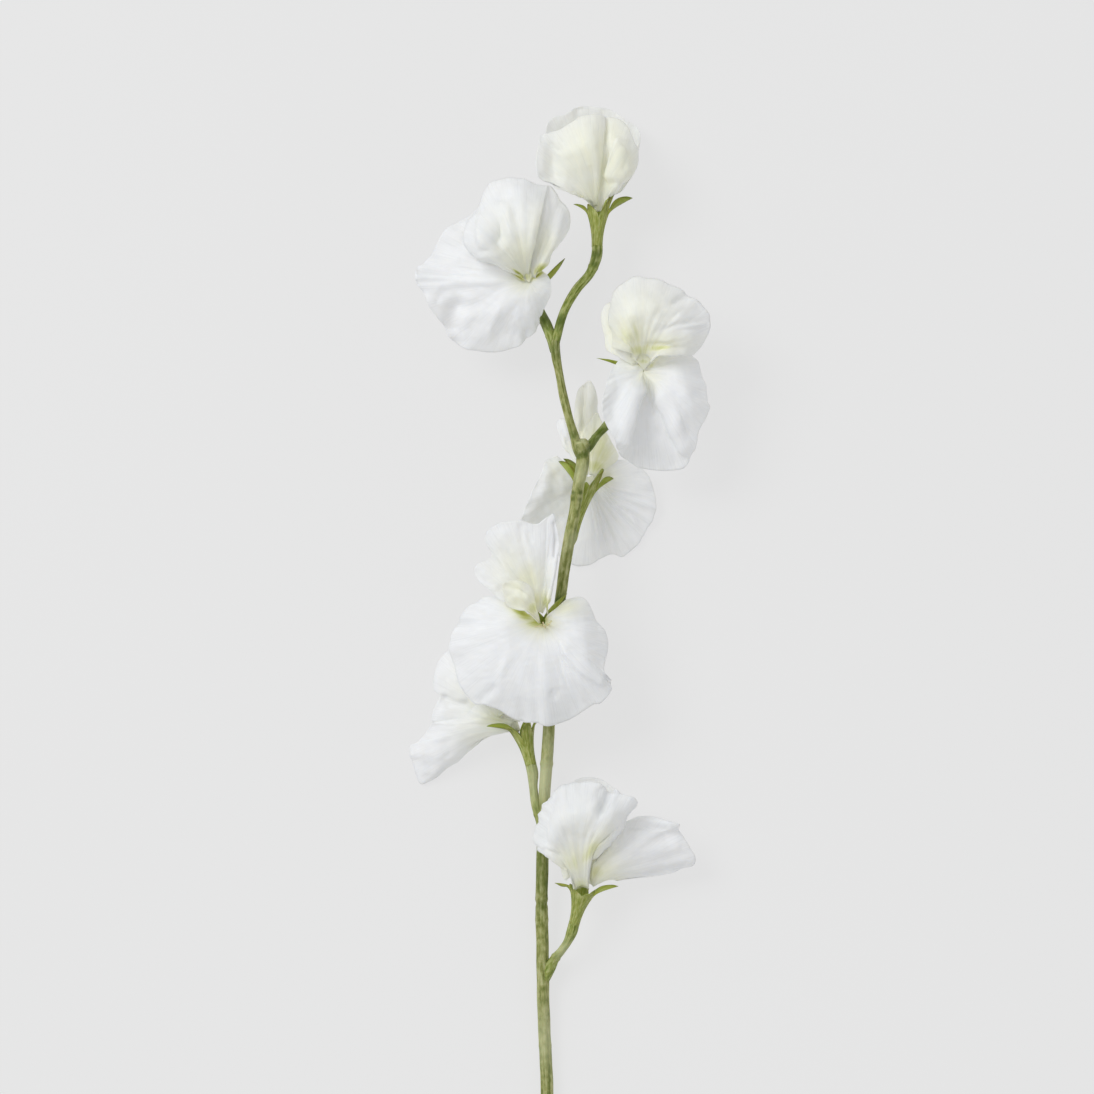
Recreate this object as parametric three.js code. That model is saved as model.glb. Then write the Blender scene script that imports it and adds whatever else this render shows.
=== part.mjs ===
// A cut spray of white sweet pea lying on a flat surface: one bent stem, and seven blossoms on short stalks.
// Lengths are in millimetres. The stem runs along +Y from its cut end, and +Z is up from the surface.
import * as THREE from "three";

// The point on the surface below the middle of the spray, counted from the cut end.
const ORIGIN = [3.8, 171, 0.2];

const CALYX_COLUMNS = 15;
const CALYX_FLARE = 1.4;
const CALYX_HEIGHTS = [0, 0.35, 0.7, 1];
const CALYX_WALL = 0.6;
const CLAW_RADIUS = 0.9;
const JOINT_GAP = 0.5;
const PEDICEL_END = 2.2;
const PEDICEL_STEPS = 8;
const PETAL_THICKNESS = 0.5;
const PETAL_ROWS = 6;
const RIB_STATIONS = [0.3, 0.65, 1];
const SEPAL_COLUMNS = 3;
const SEPAL_ROWS = [0.5, 1];
const SEPAL_SHOULDER = 0.12;
// How far a sepal spreads outwards for each mm of its reach, at its foot and by how much more at its tip.
const SEPAL_SPREAD = [0.35, 0.45];
// How much of a sepal's lift is lost by its tip, and how late it leans sideways.
const SEPAL_DROOP = 0.65;
const SEPAL_LEAN_POWER = 1.6;
// A sepal's inner face stands this far above its outer one, for each mm of wall and of reach.
const SEPAL_INNER_RISE = 1 / 12;
// The heights, counted in CALYX_HEIGHTS, that the hollow of the cup reaches down through.
const HOLLOW_LEVELS = [3, 2];
const STEM_SIDES = 10;
const STEM_STEPS = 52;
const STALK_SIDES = 8;

const WHITE_PETAL = new THREE.MeshStandardMaterial({ color: 0xf3f4ef, roughness: 0.75, side: THREE.DoubleSide });
const CREAM_PETAL = new THREE.MeshStandardMaterial({ color: 0xeeedd2, roughness: 0.75, side: THREE.DoubleSide });
const STEM_GREEN = new THREE.MeshStandardMaterial({ color: 0x7d8c4c, roughness: 0.6 });
const CALYX_GREEN = new THREE.MeshStandardMaterial({ color: 0x98a86c, roughness: 0.6 });
const STAMEN_CREAM = new THREE.MeshStandardMaterial({ color: 0xe6dfa8, roughness: 0.7 });

// Points along the main stem, each [x, y, z, radius], from the cut end to the fork below the top two blossoms.
const MAIN_STEM = [
  [0.3, 0, 2.1, 2.0],
  [0.4, 22, 2.2, 1.95],
  [0.3, 45, 2.6, 1.9],
  [-0.7, 67, 3.6, 1.88],
  [-1.1, 90, 5.2, 1.9],
  [-1.3, 102, 6.3, 1.85],
  [-1.1, 114, 7.5, 1.85],
  [-0.2, 139, 10.3, 1.75],
  [0.4, 147, 11.3, 1.8],
  [1.2, 162, 13.2, 1.7],
  [2.6, 180, 15.8, 1.6],
  [4.4, 196, 18.2, 1.55],
  [6.2, 209, 19.8, 1.45],
  [8.4, 219, 20.6, 1.6],
  [9.8, 228, 21, 1.85],
  [10.7, 236, 21.2, 1.95],
  [10.6, 240, 21.2, 2.0],
  [8.5, 243.5, 21.2, 1.5],
  [7, 248, 21, 1.3],
  [5.2, 255, 20.6, 1.25],
  [3.6, 262, 20.2, 1.2],
  [2.6, 270.5, 20, 1.35],
];

// A petal is a fan of ribs about its hub. A rib is [direction in degrees, reach, and the height above the hub
// at 0.3, 0.65 and all of its reach]. The ribs of one petal start together at its root, inside the calyx.
const FLOWERS = [
  {
    name: "flower_1",
    pedicel: [
      [3.4, 273.2, 19.9, 1.1],
      [5.7, 280.2, 19.4, 1.25],
      [9.2, 286.2, 18.6, 1.35],
      [13.4, 291.6, 17.6, 1.4],
    ],
    calyx: {
      base: [15.3, 299, 16.8],
      mouth: [15.6, 310.6, 16],
      radii: [1.65, 3.9],
      sepals: [[2.5, 0.8], [2, 1], [4.9, 0.8], [4, 1], [8.8, 1.25]],
      turn: 54,
    },
    petals: {
      standard: {
        hub: [15.6, 311.7, 14],
        root: [15.6, 309.4, 14],
        ribs: [
          [33, 8.2, -2, -4, 0],
          [40, 13.4, -3, -8, -2],
          [49, 18.7, -4, -10, -5],
          [56, 22.5, -4.5, -11, -6],
          [62, 25.8, -5, -12, -7],
          [72, 27.5, -5, -12, -8],
          [81, 29.4, -5, -12.8, -9],
          [88, 30.3, -5, -12.8, -9],
          [94, 30.7, -5, -12.8, -9],
          [101, 30.8, -5, -12.4, -8.5],
          [106, 30.2, -5, -11.6, -8],
          [110, 29.7, -5, -11, -7.5],
          [115, 30.1, -4.5, -10.5, -7],
          [120, 29.7, -4.5, -10, -6],
          [124, 28.3, -4, -9, -5],
          [129, 26.4, -4, -8, -3.5],
          [137, 24.2, -3, -6, -1],
          [147, 21.7, -2, -2, 3],
        ],
      },
      wing_left: {
        hub: [15.6, 311.7, 18],
        root: [15.2, 310.4, 17],
        ribs: [
          [159, 5.8, 0.4, 2, 3],
          [159, 13.5, 1, 4, 6.4],
          [158, 19.1, 2, 6, 9.4],
          [152, 21.1, 3, 6, 9.2],
          [144, 23, 4, 6.6, 9],
          [136, 24.8, 4.6, 7.4, 8.6],
          [131, 26.3, 5, 8.4, 8],
          [124, 25.5, 6, 9.6, 7],
          [117, 24.8, 6.4, 11, 7],
          [108, 25.4, 6.8, 12, 7.4],
          [101, 26.2, 7.2, 12.4, 8],
          [94, 26.5, 7.6, 12, 8],
          [89, 26.4, 7, 10.4, 6.4],
          [85, 25.8, 5.6, 8.6, 4.8],
        ],
      },
      wing_right: {
        hub: [16.2, 311.7, 16.6],
        root: [17, 310.2, 16.2],
        ribs: [
          [96, 25.3, 4, 6.6, 3],
          [90, 25.5, 4.6, 7.4, 3.6],
          [84, 25.9, 5.4, 8.4, 4.2],
          [79, 26, 6.4, 9.4, 4.6],
          [73, 25.1, 7.2, 10.2, 5],
          [67, 23.1, 8, 11, 5.6],
          [60, 20.8, 8, 11.2, 6],
          [51, 18.1, 7.6, 11, 6],
          [45, 15.7, 7, 10.4, 6],
          [42, 12.5, 5.6, 9, 5.4],
          [41, 9.6, 4.4, 6.6, 4.2],
          [36, 7.1, 3, 4, 3],
        ],
      },
      keel: {
        hub: [15.6, 311.7, 16],
        root: [15.8, 308.8, 15.4],
        ribs: [
          [122, 11, -1, -1, -1],
          [105, 14, 0, 1, 1],
          [90, 15, 0, 2, 2],
          [75, 13, -1, -1, -1],
        ],
      },
    },
  },
  {
    name: "flower_2",
    pedicel: [
      [0.6, 273.6, 19, 1.15],
      [-0.2, 276.8, 16.2, 1.2],
      [-1.3, 280, 13.6, 1.25],
    ],
    calyx: {
      base: [-2.9, 284.2, 14.6],
      mouth: [-4.6, 287.8, 21.6],
      radii: [1.5, 4],
      sepals: [[9.6, 0.6, -5], [1.5, 0.2], [1.5, 0.2], [1.5, 0.2], [8, 0.6, 5.2]],
      turn: 16,
    },
    petals: {
      standard: {
        hub: [-5.7, 288.3, 27],
        root: [-5.2, 288.2, 23.4],
        claw: 2.2,
        ribs: [
          [120, 27, -1, -5, -9],
          [134, 26.7, -1, -4.6, -8],
          [146, 28.8, -1, -4.6, -7.4],
          [157, 29.4, -1, -4.4, -6.4],
          [166, 30.1, -0.8, -3.8, -5],
          [173, 32.9, 0, -2.8, -2.6],
          [178, 33.3, 0.4, -2.2, -1.6],
          [182, 32.7, 0.4, -2.2, -1.6],
          [186, 31.1, 0.2, -2.6, -2.2],
          [194, 30.1, 0, -3, -3],
          [202, 28.8, 0, -3.6, -4.8],
          [208, 28.2, 0, -3.9, -6.6],
          [214, 28.5, 0, -4.2, -8.4],
          [222, 27.8, 0, -4.4, -10.6],
          [232, 25.4, 0, -4.2, -10.8],
          [245, 22.8, 0, -4, -11],
          [257, 20.6, 0, -3.4, -9.6],
          [270, 17.7, 0, -3, -8],
          [281, 14.4, 0, -2.4, -7],
          [296, 10.3, 0, -1.6, -5],
          [316, 8.7, 0, -1, -3],
          [337, 7.8, 0, -0.4, -1.6],
          [353, 7.3, 0, 0, -0.6],
          [370, 6.7, 0, 0, 0],
        ],
      },
      wing_left: {
        hub: [-5.7, 288.9, 28.6],
        root: [-5.6, 288.6, 26.8],
        ribs: [
          [157, 16.9, 4.4, 6.4, 0.6],
          [153, 20.5, 5.2, 8.6, 0],
          [146, 22.9, 6, 9.6, -0.6],
          [137, 24.2, 6.8, 10, -0.8],
          [126, 25.3, 7.4, 10, -0.6],
          [120, 27.3, 8, 9.8, -0.4],
          [115, 29.4, 8.4, 9.4, -0.6],
          [110, 30.6, 8.8, 9.2, -0.4],
          [102, 30.7, 9, 9, 0],
          [94, 30.1, 9.2, 9.6, 0],
          [88, 29, 9.2, 10, -1],
          [82, 28.5, 8.8, 10, -2.4],
          [77, 28.4, 7.6, 9, -3.4],
        ],
      },
      wing_right: {
        hub: [-4.8, 288.6, 27.6],
        root: [-3.9, 288.6, 26.5],
        ribs: [
          [95, 27.7, 3, 3.6, -4.6],
          [88, 27.9, 3.4, 4, -4.4],
          [83, 28.4, 3.6, 4, -4.6],
          [78, 28.8, 4, 4, -4.2],
          [73, 27.2, 4.6, 4.6, -3.6],
          [69, 25.5, 5, 5, -3.2],
          [63, 24.3, 5.2, 5.6, -3],
          [58, 22.4, 5.2, 6, -3],
          [53, 19.5, 5, 5.8, -2.6],
          [52, 16, 4.6, 5.4, -2],
          [52, 13, 4, 5, -1.6],
          [49, 9.6, 3, 3.4, -0.6],
          [40, 7, 1.6, 1.8, 0],
        ],
      },
      keel: {
        hub: [-5.4, 289.4, 27],
        root: [-4.9, 287, 23.4],
        claw: 0.5,
        ribs: [
          [125, 10, 0.2, 0.4, 0.4],
          [108, 13, 0.8, 1.4, 1.2],
          [92, 13, 0.8, 1.4, 1.2],
          [76, 10, 0.2, 0.4, 0.4],
        ],
      },
    },
  },
  {
    name: "flower_3",
    pedicel: [
      [13.4, 241.2, 19.6, 1.15],
      [15.6, 242.8, 17.4, 1.2],
      [18, 245.4, 15.4, 1.25],
      [20.8, 249.6, 13, 1.3],
      [23.8, 253.4, 11.6, 1.35],
    ],
    calyx: {
      base: [26.4, 257.2, 13.8],
      mouth: [28.8, 260.9, 21],
      radii: [1.5, 4.1],
      sepals: [[2, 0.2], [2, 0.2], [13.4, 0.4, -3], [2, 0.3], [2, 0.2]],
      turn: 26,
    },
    petals: {
      standard: {
        hub: [29.7, 261.9, 27],
        root: [29, 261.4, 23],
        claw: 2.2,
        ribs: [
          [149, 7.7, 0, -0.4, -0.6],
          [178, 9.9, 0, 0.4, 0.6],
          [203, 13, 0, 1.6, 3.6],
          [220, 17.2, 0, 2.2, 5.2],
          [233, 19.9, 0.4, 2.8, 4.8],
          [243, 22.5, 1, 3, 3.4],
          [250, 25, 1, 2.6, 1],
          [254, 26.5, -0.2, 0.8, -2],
          [259, 27.5, -1.4, -2.4, -6],
          [265, 28.9, -2, -4, -8],
          [274, 29.8, -2, -5, -9],
          [283, 30.8, -2, -5, -9.4],
          [291, 31.4, -2, -4, -9],
          [295, 30.5, -1, -1.6, -7],
          [298, 28.9, 0.6, 1.6, -4.6],
          [302, 28, 1.4, 3, -3.4],
          [307, 25.9, 2, 4, -2.4],
          [314, 24, 2, 4, -2],
          [324, 23, 2, 4, -2],
          [332, 21.3, 1.6, 3.4, -2.6],
          [344, 18.7, 1, 2, -3],
          [357, 16.8, 1, 1.4, -2.6],
          [370, 15.8, 0.4, 0.6, -2],
          [377, 14.4, 0, 0, -2],
        ],
      },
      wing_left: {
        hub: [23.4, 264.6, 28.6],
        root: [26.6, 262.8, 28],
        ribs: [
          [151, 6.2, 0, 0, -1.4],
          [132, 8.9, 0, -0.6, -2],
          [123, 12.1, 0.4, -0.8, -2.6],
          [116, 15.7, 0.8, -0.6, -3],
          [110, 17.6, 1, -0.4, -3.2],
          [103, 18.2, 1, -0.4, -3.6],
          [95, 19, 1, -0.6, -4],
          [86, 18.9, 1, -0.8, -4.6],
        ],
      },
      wing_right: {
        hub: [28.2, 265.5, 29],
        root: [28.6, 262.8, 27],
        ribs: [
          [2, 15.6, 5, 6, 3],
          [10, 18.3, 6, 7, 2.4],
          [18, 20.8, 6.6, 7.8, 1.8],
          [25, 23, 7.2, 8.2, 1.4],
          [32, 24, 7.8, 8.8, 0.8],
          [38, 23.7, 8.2, 9.6, 0.4],
          [46, 23.8, 8.6, 10, 0],
          [51, 23.5, 8.8, 9.6, -0.4],
          [58, 23.7, 9, 10.4, 0],
          [66, 23.6, 9, 11, 0],
          [75, 23.6, 9, 11.6, 0],
          [84, 23.8, 9, 12, 0],
          [93, 24, 9, 12, 0],
          [99, 23.5, 9, 12, 0],
          [106, 22.3, 9, 11.6, 0],
          [114, 20.3, 8.6, 10.6, 0],
          [121, 17.9, 8, 9, 0],
          [130, 14.5, 7.2, 8, 0.4],
          [144, 10.7, 6, 7, 1],
        ],
      },
      keel: {
        hub: [28.8, 264, 27.6],
        root: [29, 260.8, 23.4],
        claw: 0.5,
        ribs: [
          [120, 8, 0, 1, 1],
          [100, 11, 1, 2, 2],
          [80, 11, 1, 2, 2],
          [60, 8, 0, 1, 1],
        ],
      },
    },
  },
  {
    name: "flower_4",
    pedicel: [
      [6.4, 203.2, 16, 1.05],
      [7.4, 207.6, 14.8, 1.15],
      [8.3, 210.6, 14, 1.3],
    ],
    calyx: {
      base: [8.5, 213.6, 13.8],
      mouth: [12.4, 228.6, 12.2],
      radii: [1.35, 4],
      sepals: [[5, 1.9], [3, 4], [9, 1.3, 3], [8, 1.5], [1.5, 1]],
      turn: -20,
    },
    petals: {
      standard: {
        hub: [12.6, 229.2, 8.4],
        root: [12.8, 231.2, 6.4],
        ribs: [
          [41, 8.7, 0, 0, 0],
          [29, 12.7, -0.4, -0.6, -1],
          [18, 15.5, -1, -1, -2],
          [8, 17.6, -1, -1.6, -3],
          [-4, 19.6, -1, -2, -4],
          [-17, 21.6, -1.6, -2.6, -5],
          [-28, 22.8, -2, -3, -6],
          [-39, 23.2, -2, -3.6, -6.6],
          [-49, 24.2, -2, -4, -7],
          [-57, 25.1, -2.4, -4.4, -7.2],
          [-62, 25.2, -3, -5, -7.2],
          [-66, 25.3, -3, -5, -7.4],
          [-71, 23.4, -3, -5, -7.6],
          [-77, 23.4, -3, -5, -7.6],
          [-84, 24.7, -3, -5, -7.4],
          [-91, 25.8, -3, -4.6, -7.2],
          [-99, 25.8, -3, -4, -7],
          [-108, 24.7, -3, -4, -5.6],
          [-124, 22.9, -2.4, -2.8, -3],
          [-140, 21.9, -1.6, -1, 0],
          [-149, 23.9, -0.8, 0.8, 3.4],
          [-156, 21, -0.2, 1.6, 4.4],
          [-168, 17.2, 0, 2, 4.8],
          [-186, 14.5, 0, 1.4, 3],
          [-207, 13.8, -0.4, 0, 0.6],
          [-217, 11.7, -0.8, -0.8, -0.8],
        ],
      },
      wing_left: {
        hub: [8.7, 234.9, 8],
        root: [10.8, 229.6, 11.2],
        ribs: [
          [127, 6, 1, 0, -1],
          [120, 10.1, 1, 1, 0],
          [117, 12.5, 1, 1.4, 0.4],
          [108, 13.7, 1, 2, 1],
          [101, 12.5, 1, 1.6, 0.8],
          [96, 11.2, 1, 1, 0],
        ],
      },
      wing_right: {
        hub: [13.8, 231, 9.6],
        root: [13.4, 229.2, 11.4],
        ribs: [
          [90, 16.8, 0.8, 1.4, 1.6],
          [85, 18.7, 0.8, 1.4, 1.6],
          [81, 16.7, 1, 1.4, 1.4],
          [72, 13.6, 1, 1.2, 1.2],
          [58, 11.3, 1, 1, 1],
          [43, 10.2, 1, 0.6, 0.6],
          [34, 9.7, 0.6, 0.2, 0],
        ],
      },
      keel: {
        hub: [12.2, 236.4, 7],
        root: [12.4, 229.8, 11.6],
        ribs: [
          [119, 7.9, 0, 0.6, 1],
          [108, 12, 0.4, 1.2, 2],
          [102, 16.6, 1, 2.2, 3.4],
          [97, 20.3, 1.2, 3, 4.6],
          [92, 21.6, 1.4, 3.6, 5.2],
          [88, 22.8, 1.4, 4, 5.4],
          [84, 21.1, 1.2, 3.4, 4.8],
          [79, 17.4, 0.8, 1.8, 2.6],
          [76, 13.6, 0, 0, 0],
        ],
      },
    },
  },
  {
    name: "flower_5",
    pedicel: [
      [-0.3, 170.6, 16.8, 1.05],
      [-0.2, 175, 17.5, 1.1],
      [0, 179, 17.9, 1.15],
    ],
    calyx: {
      base: [0, 183.2, 20.8],
      mouth: [-0.9, 186.9, 26.4],
      radii: [1.5, 4.2],
      sepals: [[9, 0.3, 1.2], [0.6, 0.2], [0.6, 0.2], [0.6, 0.2], [6.5, 0.5, -2]],
      turn: -44,
    },
    petals: {
      standard: {
        hub: [-1.5, 187.2, 31.6],
        root: [-1, 187, 28.8],
        claw: 2.4,
        ribs: [
          [152, 11.5, 0, -0.6, -2.6],
          [153, 15.4, 0, -1, -4],
          [157, 17.9, 0, -1.4, -5],
          [165, 20.5, 0, -1.6, -6],
          [173, 23, 0, -2, -7],
          [181, 24.9, 0, -2.6, -8],
          [189, 27, 0, -3, -9],
          [197, 28.6, 0, -3, -9.6],
          [206, 29.4, 0, -3, -10],
          [214, 30.3, 0, -3, -10],
          [221, 31, 0, -3, -10],
          [226, 31.6, 0, -3, -9.6],
          [232, 31.8, 0, -2.6, -9],
          [237, 30, 0, -2.2, -7.6],
          [245, 29.4, 0, -2, -8],
          [252, 30.3, 0, -2, -8.8],
          [258, 30.9, 0, -2, -9],
          [266, 30.8, 0, -1.6, -8],
          [273, 31.3, 0, -1, -7.4],
          [281, 30.8, 0, -1.6, -8.4],
          [287, 30.5, 0, -2, -9],
          [295, 29.5, 0, -1.2, -8],
          [301, 29.7, 0, -0.6, -6.6],
          [306, 30.3, 0, 0, -5],
          [313, 29.7, 0, 0.6, -4.6],
          [317, 28.9, 0, 1, -4.4],
          [319, 27, 0, 1, -3.8],
          [320, 24.5, 0, 1, -3],
          [328, 22.6, 0, 1, -4.2],
          [339, 21.2, 0, 1, -5.6],
          [349, 19.5, 0, 0.8, -5.6],
          [359, 17.1, 0, 0.4, -5],
          [370, 15.5, 0, 0.2, -4.4],
          [381, 14.8, 0, 0, -3.6],
          [390, 13.8, 0, 0, -3],
          [396, 11.8, 0, 0, -2.4],
          [400, 9.4, 0, 0, -2],
        ],
      },
      wing_left: {
        hub: [-1.5, 189.6, 31.4],
        root: [-2, 188.2, 29],
        ribs: [
          [163, 11.6, 2, 3, 4],
          [157, 16, 1.4, 3, 3],
          [154, 19.7, 1, 2.6, 1.8],
          [150, 22.7, 1, 2, 1],
          [146, 23.8, 1, 2.2, 1.4],
          [140, 23.3, 1, 2.6, 1.8],
          [136, 22.4, 1, 3, 2.2],
          [131, 22.5, 1, 3.2, 2.8],
          [129, 25, 1, 3.7, 3.2],
          [127, 27.5, 1, 4, 3],
          [124, 28.8, 1, 4.2, 3.6],
          [120, 29.2, 1, 4.6, 4.6],
          [114, 29.3, 1, 5, 5],
          [108, 28.6, 1, 5, 5.4],
          [102, 28, 1, 5, 5.6],
          [97, 26.8, 1, 4.6, 5.6],
        ],
      },
      wing_right: {
        hub: [-0.6, 189.3, 32.4],
        root: [0.2, 188.2, 29],
        ribs: [
          [94, 27.1, 1.6, 3.6, 4.8],
          [90, 27.9, 2, 4.6, 6],
          [86, 29.9, 2.4, 5.6, 6.6],
          [83, 28.4, 3, 6, 6],
          [80, 24.7, 3.6, 6, 5.4],
          [77, 21, 4, 6, 5],
          [76, 17, 4, 6, 5],
          [74, 12.8, 4, 5.6, 5],
          [70, 8, 3, 5, 4],
        ],
      },
      keel: {
        hub: [-2.4, 188.8, 34],
        root: [-1.6, 186.2, 29.6],
        claw: 0.5,
        ribs: [
          [164, 9.7, 2, 2.6, 2],
          [150, 11.4, 2, 3, 3],
          [140, 13.8, 3, 4.4, 4.6],
          [128, 13.1, 3, 5.4, 5],
          [119, 11.9, 3, 5.6, 5],
          [108, 10, 2.4, 4, 4],
          [101, 7.6, 2, 3, 3],
        ],
      },
    },
  },
  {
    name: "flower_6",
    pedicel: [
      [-3.7, 133.6, 9.6, 1.15],
      [-3.8, 137, 9.6, 1.25],
    ],
    calyx: {
      base: [-4.5, 143.4, 9.6],
      mouth: [-7.8, 153.4, 9.4],
      radii: [1.7, 4],
      sepals: [[3, 1], [3, 1], [11.4, 0.6], [2, 0.5], [3, 1]],
      turn: -5,
    },
    petals: {
      standard: {
        hub: [-13.8, 156.6, 11],
        root: [-8.6, 155, 10.6],
        claw: 0.6,
        ribs: [
          [-120, 4.2, -1, -1, -2],
          [-134, 8.3, -1.6, -2.6, -4],
          [-136, 12.5, -2, -4, -6],
          [-136, 17.4, -2.4, -5, -8],
          [-138, 21.9, -2.8, -6, -9.4],
          [-139, 26.2, -3, -6.6, -10.2],
          [-141, 30.7, -1.6, -5.2, -10],
          [-148, 30.1, -0.6, -3.6, -9.4],
          [-155, 29.4, 0.4, -2.2, -8.4],
          [-164, 28.7, 1, -1, -6.8],
          [-166, 25.6, 1.4, -0.2, -5.4],
          [-170, 23.2, 1.5, 0.3, -4.2],
          [-176, 21.1, 1.6, 0.7, -2.6],
          [-179, 20.1, 1.8, 1.1, -1.4],
          [-182, 15, 2, 1.6, -0.2],
          [-187, 11.5, 2, 1.8, 0.5],
          [-200, 9.6, 2.4, 2.4, 1],
          [-219, 8.5, 2, 2, 1],
          [-241, 5.5, 1.4, 1.6, 1],
          [-294, 3.6, 1, 1, 0.6],
        ],
      },
      wing_left: {
        hub: [-8.1, 155.7, 8.6],
        root: [-8.4, 153, 8.4],
        ribs: [
          [179, 26.4, 0, -1.6, -3.4],
          [172, 26.4, 0.4, -1, -3],
          [161, 25.4, 0.6, -0.6, -3],
          [158, 27.9, 0.8, 0, -3],
          [150, 29.6, 1, 1, -2.6],
          [142, 31, 1.4, 2, -2],
          [134, 31, 2, 2.4, -1.6],
          [126, 31.6, 2.6, 3, -1],
          [118, 31, 3, 3, -0.6],
          [109, 28.8, 2, 3, 0],
          [103, 26.1, 1.4, 2.4, 0],
        ],
      },
      wing_right: {
        hub: [-6.8, 155.4, 9],
        root: [-6.2, 153, 8.4],
        ribs: [
          [100, 18, -1, -2, -5],
          [88, 21, 0, -1, -4],
          [74, 19, 0, -1, -4],
          [60, 13, -1, -2, -4],
        ],
      },
      keel: {
        hub: [-8.1, 155.6, 6.6],
        root: [-7.4, 153, 7],
        ribs: [
          [170, 10, -1, -2, -2],
          [150, 14, 0, -1, -2],
          [132, 14, 0, -1, -2],
          [114, 10, -1, -2, -2],
        ],
      },
    },
  },
  {
    name: "flower_7",
    pedicel: [
      [2.2, 84.2, 5.6, 1.15],
      [4.6, 87.4, 7.4, 1.2],
      [6.6, 90.4, 9, 1.25],
    ],
    calyx: {
      base: [8.4, 95.5, 10.6],
      mouth: [11.2, 106.6, 13.6],
      radii: [1.65, 4.3],
      sepals: [[0.8, 0.3], [0.8, 0.3], [6.2, -0.7], [2, 0.6], [8, 0.8]],
      turn: 54,
    },
    petals: {
      standard: {
        hub: [10, 108, 14],
        root: [13.2, 107, 12.6],
        ribs: [
          [5, 17.4, -3, -4.4, -5],
          [5, 22.8, -3, -5, -5.6],
          [6, 28, -3, -5, -6],
          [8, 31.7, -2.6, -4.6, -5.6],
          [9, 34.9, -1.6, -3, -4.6],
          [13, 35.8, -0.6, -1.4, -2.4],
          [18, 35, 0.4, 0, -1],
          [24, 34.4, 1, 1, 0],
          [29, 34, 1.6, 1.6, 1.4],
          [31, 35.1, 2, 2, 3],
          [34, 33.3, 2, 2.6, 2.6],
          [39, 31.3, 2, 3, 1.6],
          [44, 29.3, 1.8, 3, 1],
          [48, 27, 1.4, 2.2, 0],
          [51, 24.4, 1, 1.6, -1],
          [53, 22.6, 1, 1, -2],
          [59, 20.3, -1, -1.6, -4.4],
        ],
      },
      wing_left: {
        hub: [9.3, 111.6, 16],
        root: [10.2, 105.8, 14.8],
        ribs: [
          [161, 5.4, 1.6, 2.4, 0.6],
          [153, 9.1, 2, 3, 1],
          [152, 12.2, 2.6, 4, 0.8],
          [148, 14.7, 3.2, 5, 0.6],
          [141, 16.9, 3.8, 6, 0.8],
          [131, 18.7, 4.6, 7.4, 1.4],
          [122, 21.5, 5.6, 9, 2.4],
          [113, 23.8, 6.6, 10.6, 3.4],
          [106, 25.6, 7.4, 12, 4.4],
          [100, 26.6, 8, 13, 5.4],
          [91, 27.3, 8, 13.6, 6.4],
          [83, 27.8, 8, 14, 7.2],
          [77, 27.9, 8, 14, 8],
          [74, 27.5, 8, 13.6, 8],
          [69, 26.4, 8, 13, 6.6],
          [66, 27.9, 8, 13, 8.4],
          [61, 27.4, 8, 12.4, 8.6],
          [56, 28, 7.4, 11.6, 8.6],
          [52, 28.5, 7, 10.6, 8.4],
          [49, 26.8, 6.2, 9.4, 6.4],
          [48, 22.9, 5.6, 8.6, 5.4],
        ],
      },
      wing_right: {
        hub: [9.8, 108, 12.6],
        root: [10.4, 104.8, 12],
        ribs: [
          [102, 27, -3, -6, -5],
          [90, 31, -5, -11.2, -9],
          [77, 31.6, -5, -11.6, -10],
          [64, 28, -5, -10, -8],
          [52, 21, -3, -5, -6],
        ],
      },
      keel: {
        hub: [10, 108, 14.6],
        root: [9.6, 104.8, 13.3],
        claw: 0.6,
        ribs: [
          [110, 12, 0, 1, 1],
          [94, 16, 1, 3, 3],
          [78, 16, 1, 3, 3],
          [64, 12, 0, 1, 1],
        ],
      },
    },
  },
];

// The filaments in the open throat of flower_5, each [[root], [middle], [tip]].
const FILAMENT_RADIUS = 0.25;
const FILAMENT_SIDES = 6;
const FILAMENT_STEPS = 5;
const FILAMENTS = [
  [[-1.3, 185.9, 28.6], [-1.5, 185.6, 32], [-3.4, 185.6, 35.4]],
  [[-0.4, 185.7, 28.6], [-0.4, 185.2, 32], [-0.9, 186.8, 36]],
  [[0.45, 186.2, 28.6], [0.7, 186, 31.8], [1.6, 187.2, 35.4]],
];

// The results of a function at evenly spaced places from 0 to 1.
function spread(at, count) {
  return Array.from({ length: count }, (_, i) => at(i / (count - 1)));
}

function smooth(points) {
  return new THREE.CatmullRomCurve3(points.map((p) => (p.isVector3 ? p : new THREE.Vector3(...p))));
}

function solid(points, faces) {
  const geometry = new THREE.BufferGeometry();
  geometry.setAttribute("position", new THREE.Float32BufferAttribute(points.flatMap((p) => p.toArray()), 3));
  geometry.setIndex(faces.flat());
  geometry.computeVertexNormals();
  return geometry;
}

// Joins rings of equal length in order, and closes the first and the last with a flat fan.
function loft(rings) {
  const sides = rings[0].length;
  const points = rings.flat();
  const faces = [];
  for (let r = 0; r + 1 < rings.length; r += 1) {
    for (let s = 0; s < sides; s += 1) {
      const here = r * sides + s;
      const next = r * sides + ((s + 1) % sides);
      faces.push([here, next, next + sides], [here, next + sides, here + sides]);
    }
  }
  const last = (rings.length - 1) * sides;
  const first = points.push(middle(rings[0])) - 1;
  const end = points.push(middle(rings.at(-1))) - 1;
  for (let s = 0; s < sides; s += 1) {
    faces.push([first, (s + 1) % sides, s], [end, last + s, last + ((s + 1) % sides)]);
  }
  return solid(points, faces);
}

function middle(ring) {
  return ring.reduce((sum, p) => sum.add(p), new THREE.Vector3()).divideScalar(ring.length);
}

// Two directions across an axis: the first lies level, and the second rises.
function across(axis) {
  const level = new THREE.Vector3().crossVectors(axis, new THREE.Vector3(0, 0, 1)).normalize();
  return [level, new THREE.Vector3().crossVectors(level, axis)];
}

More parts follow.
